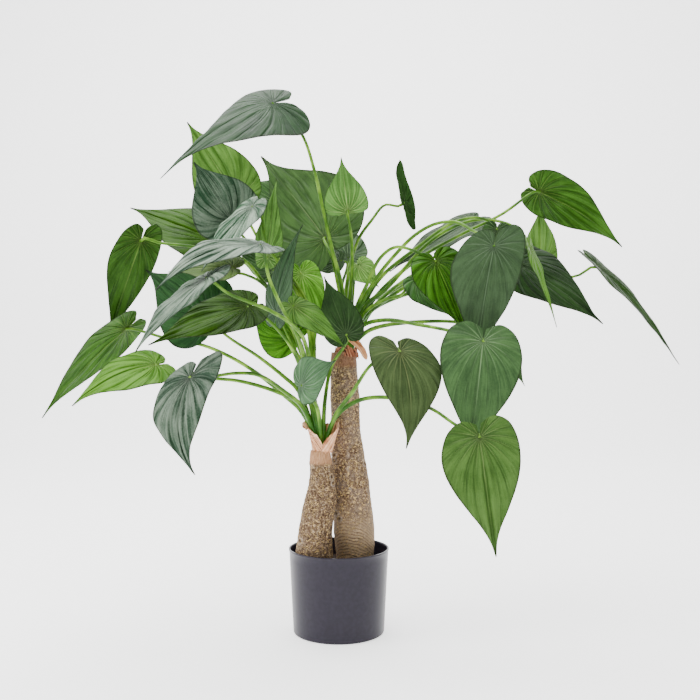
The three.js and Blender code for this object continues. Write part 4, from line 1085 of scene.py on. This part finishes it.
def spun(profile, sides):
    """A closed bmesh of a profile of radius and height in mm, turned about the pot's axis."""
    bm = bmesh.new()
    verts = [bm.verts.new((r * MM, 0, z * MM)) for r, z in profile]
    edges = [bm.edges.new(pair) for pair in zip(verts, verts[1:])]
    whole = dict(cent=(0, 0, 0), axis=(0, 0, 1), angle=2 * math.pi, steps=sides, use_merge=True)
    bmesh.ops.spin(bm, geom=verts + edges, **whole)
    bmesh.ops.remove_doubles(bm, verts=bm.verts, dist=1e-6)
    bmesh.ops.recalc_face_normals(bm, faces=bm.faces)
    return bm


def pot_radius(z, wall=0):
    """The pot's radius at a height, less a wall."""
    return POT["base"] + (POT["rim"] - POT["bead"] - POT["base"]) * z / POT["height"] - wall


def rounding(radius, height, size, turns):
    """Points of a profile on a rounded edge: its middle, its size and its turns in degrees."""
    turns = [turn * DEGREE for turn in turns]
    return [(radius + size * math.cos(a), height + size * math.sin(a)) for a in turns]


def make_pot():
    """The moulded pot: tapered wall, thin rolled lip, rounded foot."""
    high, lip, base, wall = POT["height"], POT["lip"], POT["base"], POT["wall"]
    foot, floor, bead_from = POT["foot"], POT["floor"], POT["height"] - POT["bead_height"]
    profile = [(0, 0)] + [(base - inward, z) for inward, z in POT_STEP]
    profile += rounding(base - foot, foot, foot, range(-90, 1, 15))
    profile += [(pot_radius(z), z) for z in np.linspace(2 * foot, bead_from - 0.4, 12)]
    profile += [(POT["rim"] - 0.3, bead_from + 0.3), (POT["rim"], bead_from + 0.8)]
    profile += rounding(POT["rim"] - lip, high - lip, lip, range(0, 91, 18))
    profile += [(pot_radius(high, wall) + 0.4, high), (pot_radius(high, wall), high - 0.5)]
    profile += [(pot_radius(z, wall), z) for z in np.linspace(high - 4, floor + 2, 12)]
    profile += [(pot_radius(floor, wall) - 2, floor), (0, floor)]
    mesh = mesh_of(spun(profile, POT_SIDES), "grow_pot")
    add_object("grow_pot", mesh, [pot_plastic], "pot", 60)


def make_soil():
    """The potting mix with an uneven top, and chips of bark strewn on it."""
    low, wall = POT["floor"] + 0.3, POT["wall"] + 0.5
    inside = pot_radius(SOIL_TOP, wall)
    profile = [(0, low), (pot_radius(low, wall), low), (inside, SOIL_TOP - 1)]
    profile += [(inside * k / 26, SOIL_TOP) for k in range(25, -1, -1)]
    bm = spun(profile, 96)

    # Lumps about 14 mm and 4 mm across, which die out at the pot's wall
    for v in bm.verts:
        spot = v.co / MM
        if spot.z > SOIL_TOP - 0.5:
            edge = min(1, (inside - math.hypot(spot.x, spot.y)) / 6)
            v.co.z += MM * (1.2 * noise.noise(spot / 14) + 1.3 * noise.noise(spot / 4)) * edge

    dice = random.Random(7)
    trunks = [(x, y) for _, x, y, _ in (SHORT_TRUNK[0], TALL_TRUNK[0])]
    placed = 0
    while placed < CHIPS:
        turn, reach = dice.uniform(0, 2 * math.pi), inside * 0.95 * math.sqrt(dice.random())
        x, y = reach * math.cos(turn), reach * math.sin(turn)
        if any(math.hypot(x - fx, y - fy) < CHIPS_CLEAR for fx, fy in trunks):
            continue
        size = Vector((dice.uniform(1.5, 5), dice.uniform(1, 3), dice.uniform(0.6, 1.6)))
        turned = Matrix.Rotation(dice.uniform(0, 6.3), 4, "Z")
        turned = turned @ Matrix.Rotation(dice.uniform(-0.4, 0.4), 4, "X")
        at = Matrix.Translation(Vector((x, y, SOIL_TOP + 0.6)) * MM) @ turned
        at = at @ Matrix.Diagonal((*(size * MM), 1))
        bmesh.ops.create_icosphere(bm, subdivisions=1, radius=1, matrix=at)
        placed += 1
    mesh = mesh_of(bm, "potting_mix")
    add_object("potting_mix", mesh, [potting_mix], "soil", 40)


# The pieces

petiole_skin = petiole_material()
dry_sheath, dark_sheath, flap_sheath = (
    sheath_material(name, browns)
    for name, browns in (
        ("dry_sheath", ("#5E3019", "#9C6240", "#CF9468", "#E4B28C", "#F0CFB2")),
        ("dark_sheath", ("#1E0E07", "#4A2415", "#7E4A32", "#A2694B", "#BF8A6A")),
        ("flap_sheath", ("#5A2E18", "#8E5534", "#B97D54", "#CC9469", "#DBAB84")),
    )
)
pot_plastic = pot_material()
potting_mix = mix_material()
leaf_skins = {
    tone: [
        leaf_material(f"leaf_top_{tone}", *TOPS[tone]),
        leaf_material(f"leaf_under_{tone}", *UNDERSIDES[tone], under=True),
    ]
    for tone in TOPS
}

make_pot()
make_soil()
short_bark = bark_material("bark_short", 300, 80, 0.15, ("#926545", "#AD805A", "#BE9370"))
tall_bark = bark_material("bark_tall", 470, 200, 0.5, ("#54341F", "#74503A", "#8E6A50"))
make_trunk("short", SHORT_TRUNK, short_bark)
make_trunk("tall", TALL_TRUNK, tall_bark)
make_petioles("tall")
make_petioles("short")
make_sheath("cup_sheath", "short", CUP, cup, 120, 30, dry_sheath)
make_sheath("ring_sheath", "tall", REMNANT, remnant, 90, 8, dark_sheath)
make_flap("curled_sheath", "flap_tall", flap_sheath)
for leaf in LEAVES:
    make_blade(leaf, leaf_skins[SKINS.get(leaf["name"], leaf["tone"])])


# Floor, light and camera, in metres

SWEEP_FRONT = -4.0
SWEEP_BACK = 2.2
SWEEP_RADIUS = 1.2
SWEEP_UP = 4.0
SWEEP_HALF_WIDTH = 7


def make_floor():
    """A pale sweep of paper: level under the pot, curving up well behind it."""
    bm = bmesh.new()
    bmesh.ops.create_grid(bm, x_segments=2, y_segments=60, size=1)
    flat_run = SWEEP_BACK - SWEEP_FRONT
    arc_run = SWEEP_RADIUS * math.pi / 2
    for v in bm.verts:
        run = (v.co.y + 1) / 2 * (flat_run + arc_run + SWEEP_UP)
        v.co.x *= SWEEP_HALF_WIDTH
        turn = min(max(run - flat_run, 0), arc_run) / SWEEP_RADIUS
        v.co.y = SWEEP_FRONT + min(run, flat_run) + SWEEP_RADIUS * math.sin(turn)
        v.co.z = SWEEP_RADIUS * (1 - math.cos(turn)) + max(run - flat_run - arc_run, 0)
    mesh = mesh_of(bm, "paper_sweep")
    mesh.materials.append(floor_material())
    mesh.shade_smooth()
    sweep = bpy.data.objects.new("paper_sweep", mesh)
    bpy.context.scene.collection.objects.link(sweep)


make_floor()

# Soft panels of light: where each is, what it faces, its width and height, and its power
for name, place, aim, width, height, power in (
    ("softbox_top", (-0.3, -0.2, 2.6), (0, 0, 0.4), 2.4, 2.0, 122),
    ("softbox_left", (-2.2, -0.7, 1.2), (0, 0, 0.6), 1.3, 1.7, 55),
    ("softbox_right", (2.4, -1.2, 1.3), (0, 0, 0.6), 1.4, 1.8, 14),
    ("softbox_strip", (-0.25, -3.4, 1.1), (0, 0, 0.3), 0.3, 1.6, 16),
    ("softbox_paper", (0, 1.2, 2.9), (0, 3.4, 1.0), 4.0, 1.2, 130),
):
    lamp = bpy.data.lights.new(name, "AREA")
    lamp.shape = "RECTANGLE"
    lamp.size, lamp.size_y, lamp.energy = width, height, power
    box = bpy.data.objects.new(name, lamp)
    box.location = place
    box.rotation_euler = (Vector(aim) - Vector(place)).to_track_quat("-Z", "Y").to_euler()
    bpy.context.scene.collection.objects.link(box)

world = bpy.data.worlds.new("studio")
world.use_nodes = True
bpy.context.scene.world = world
backdrop = world.node_tree.nodes["Background"]
backdrop.inputs["Color"].default_value = (1, 1, 1, 1)
backdrop.inputs["Strength"].default_value = 0.5

lens = bpy.data.cameras.new("camera")
lens.sensor_width = 36
lens.lens = 46.54
camera = bpy.data.objects.new("camera", lens)
camera.location = (0.020, -1.629, 0.505)
camera.rotation_euler = (math.pi / 2, 0, 0)
bpy.context.scene.collection.objects.link(camera)
bpy.context.scene.camera = camera
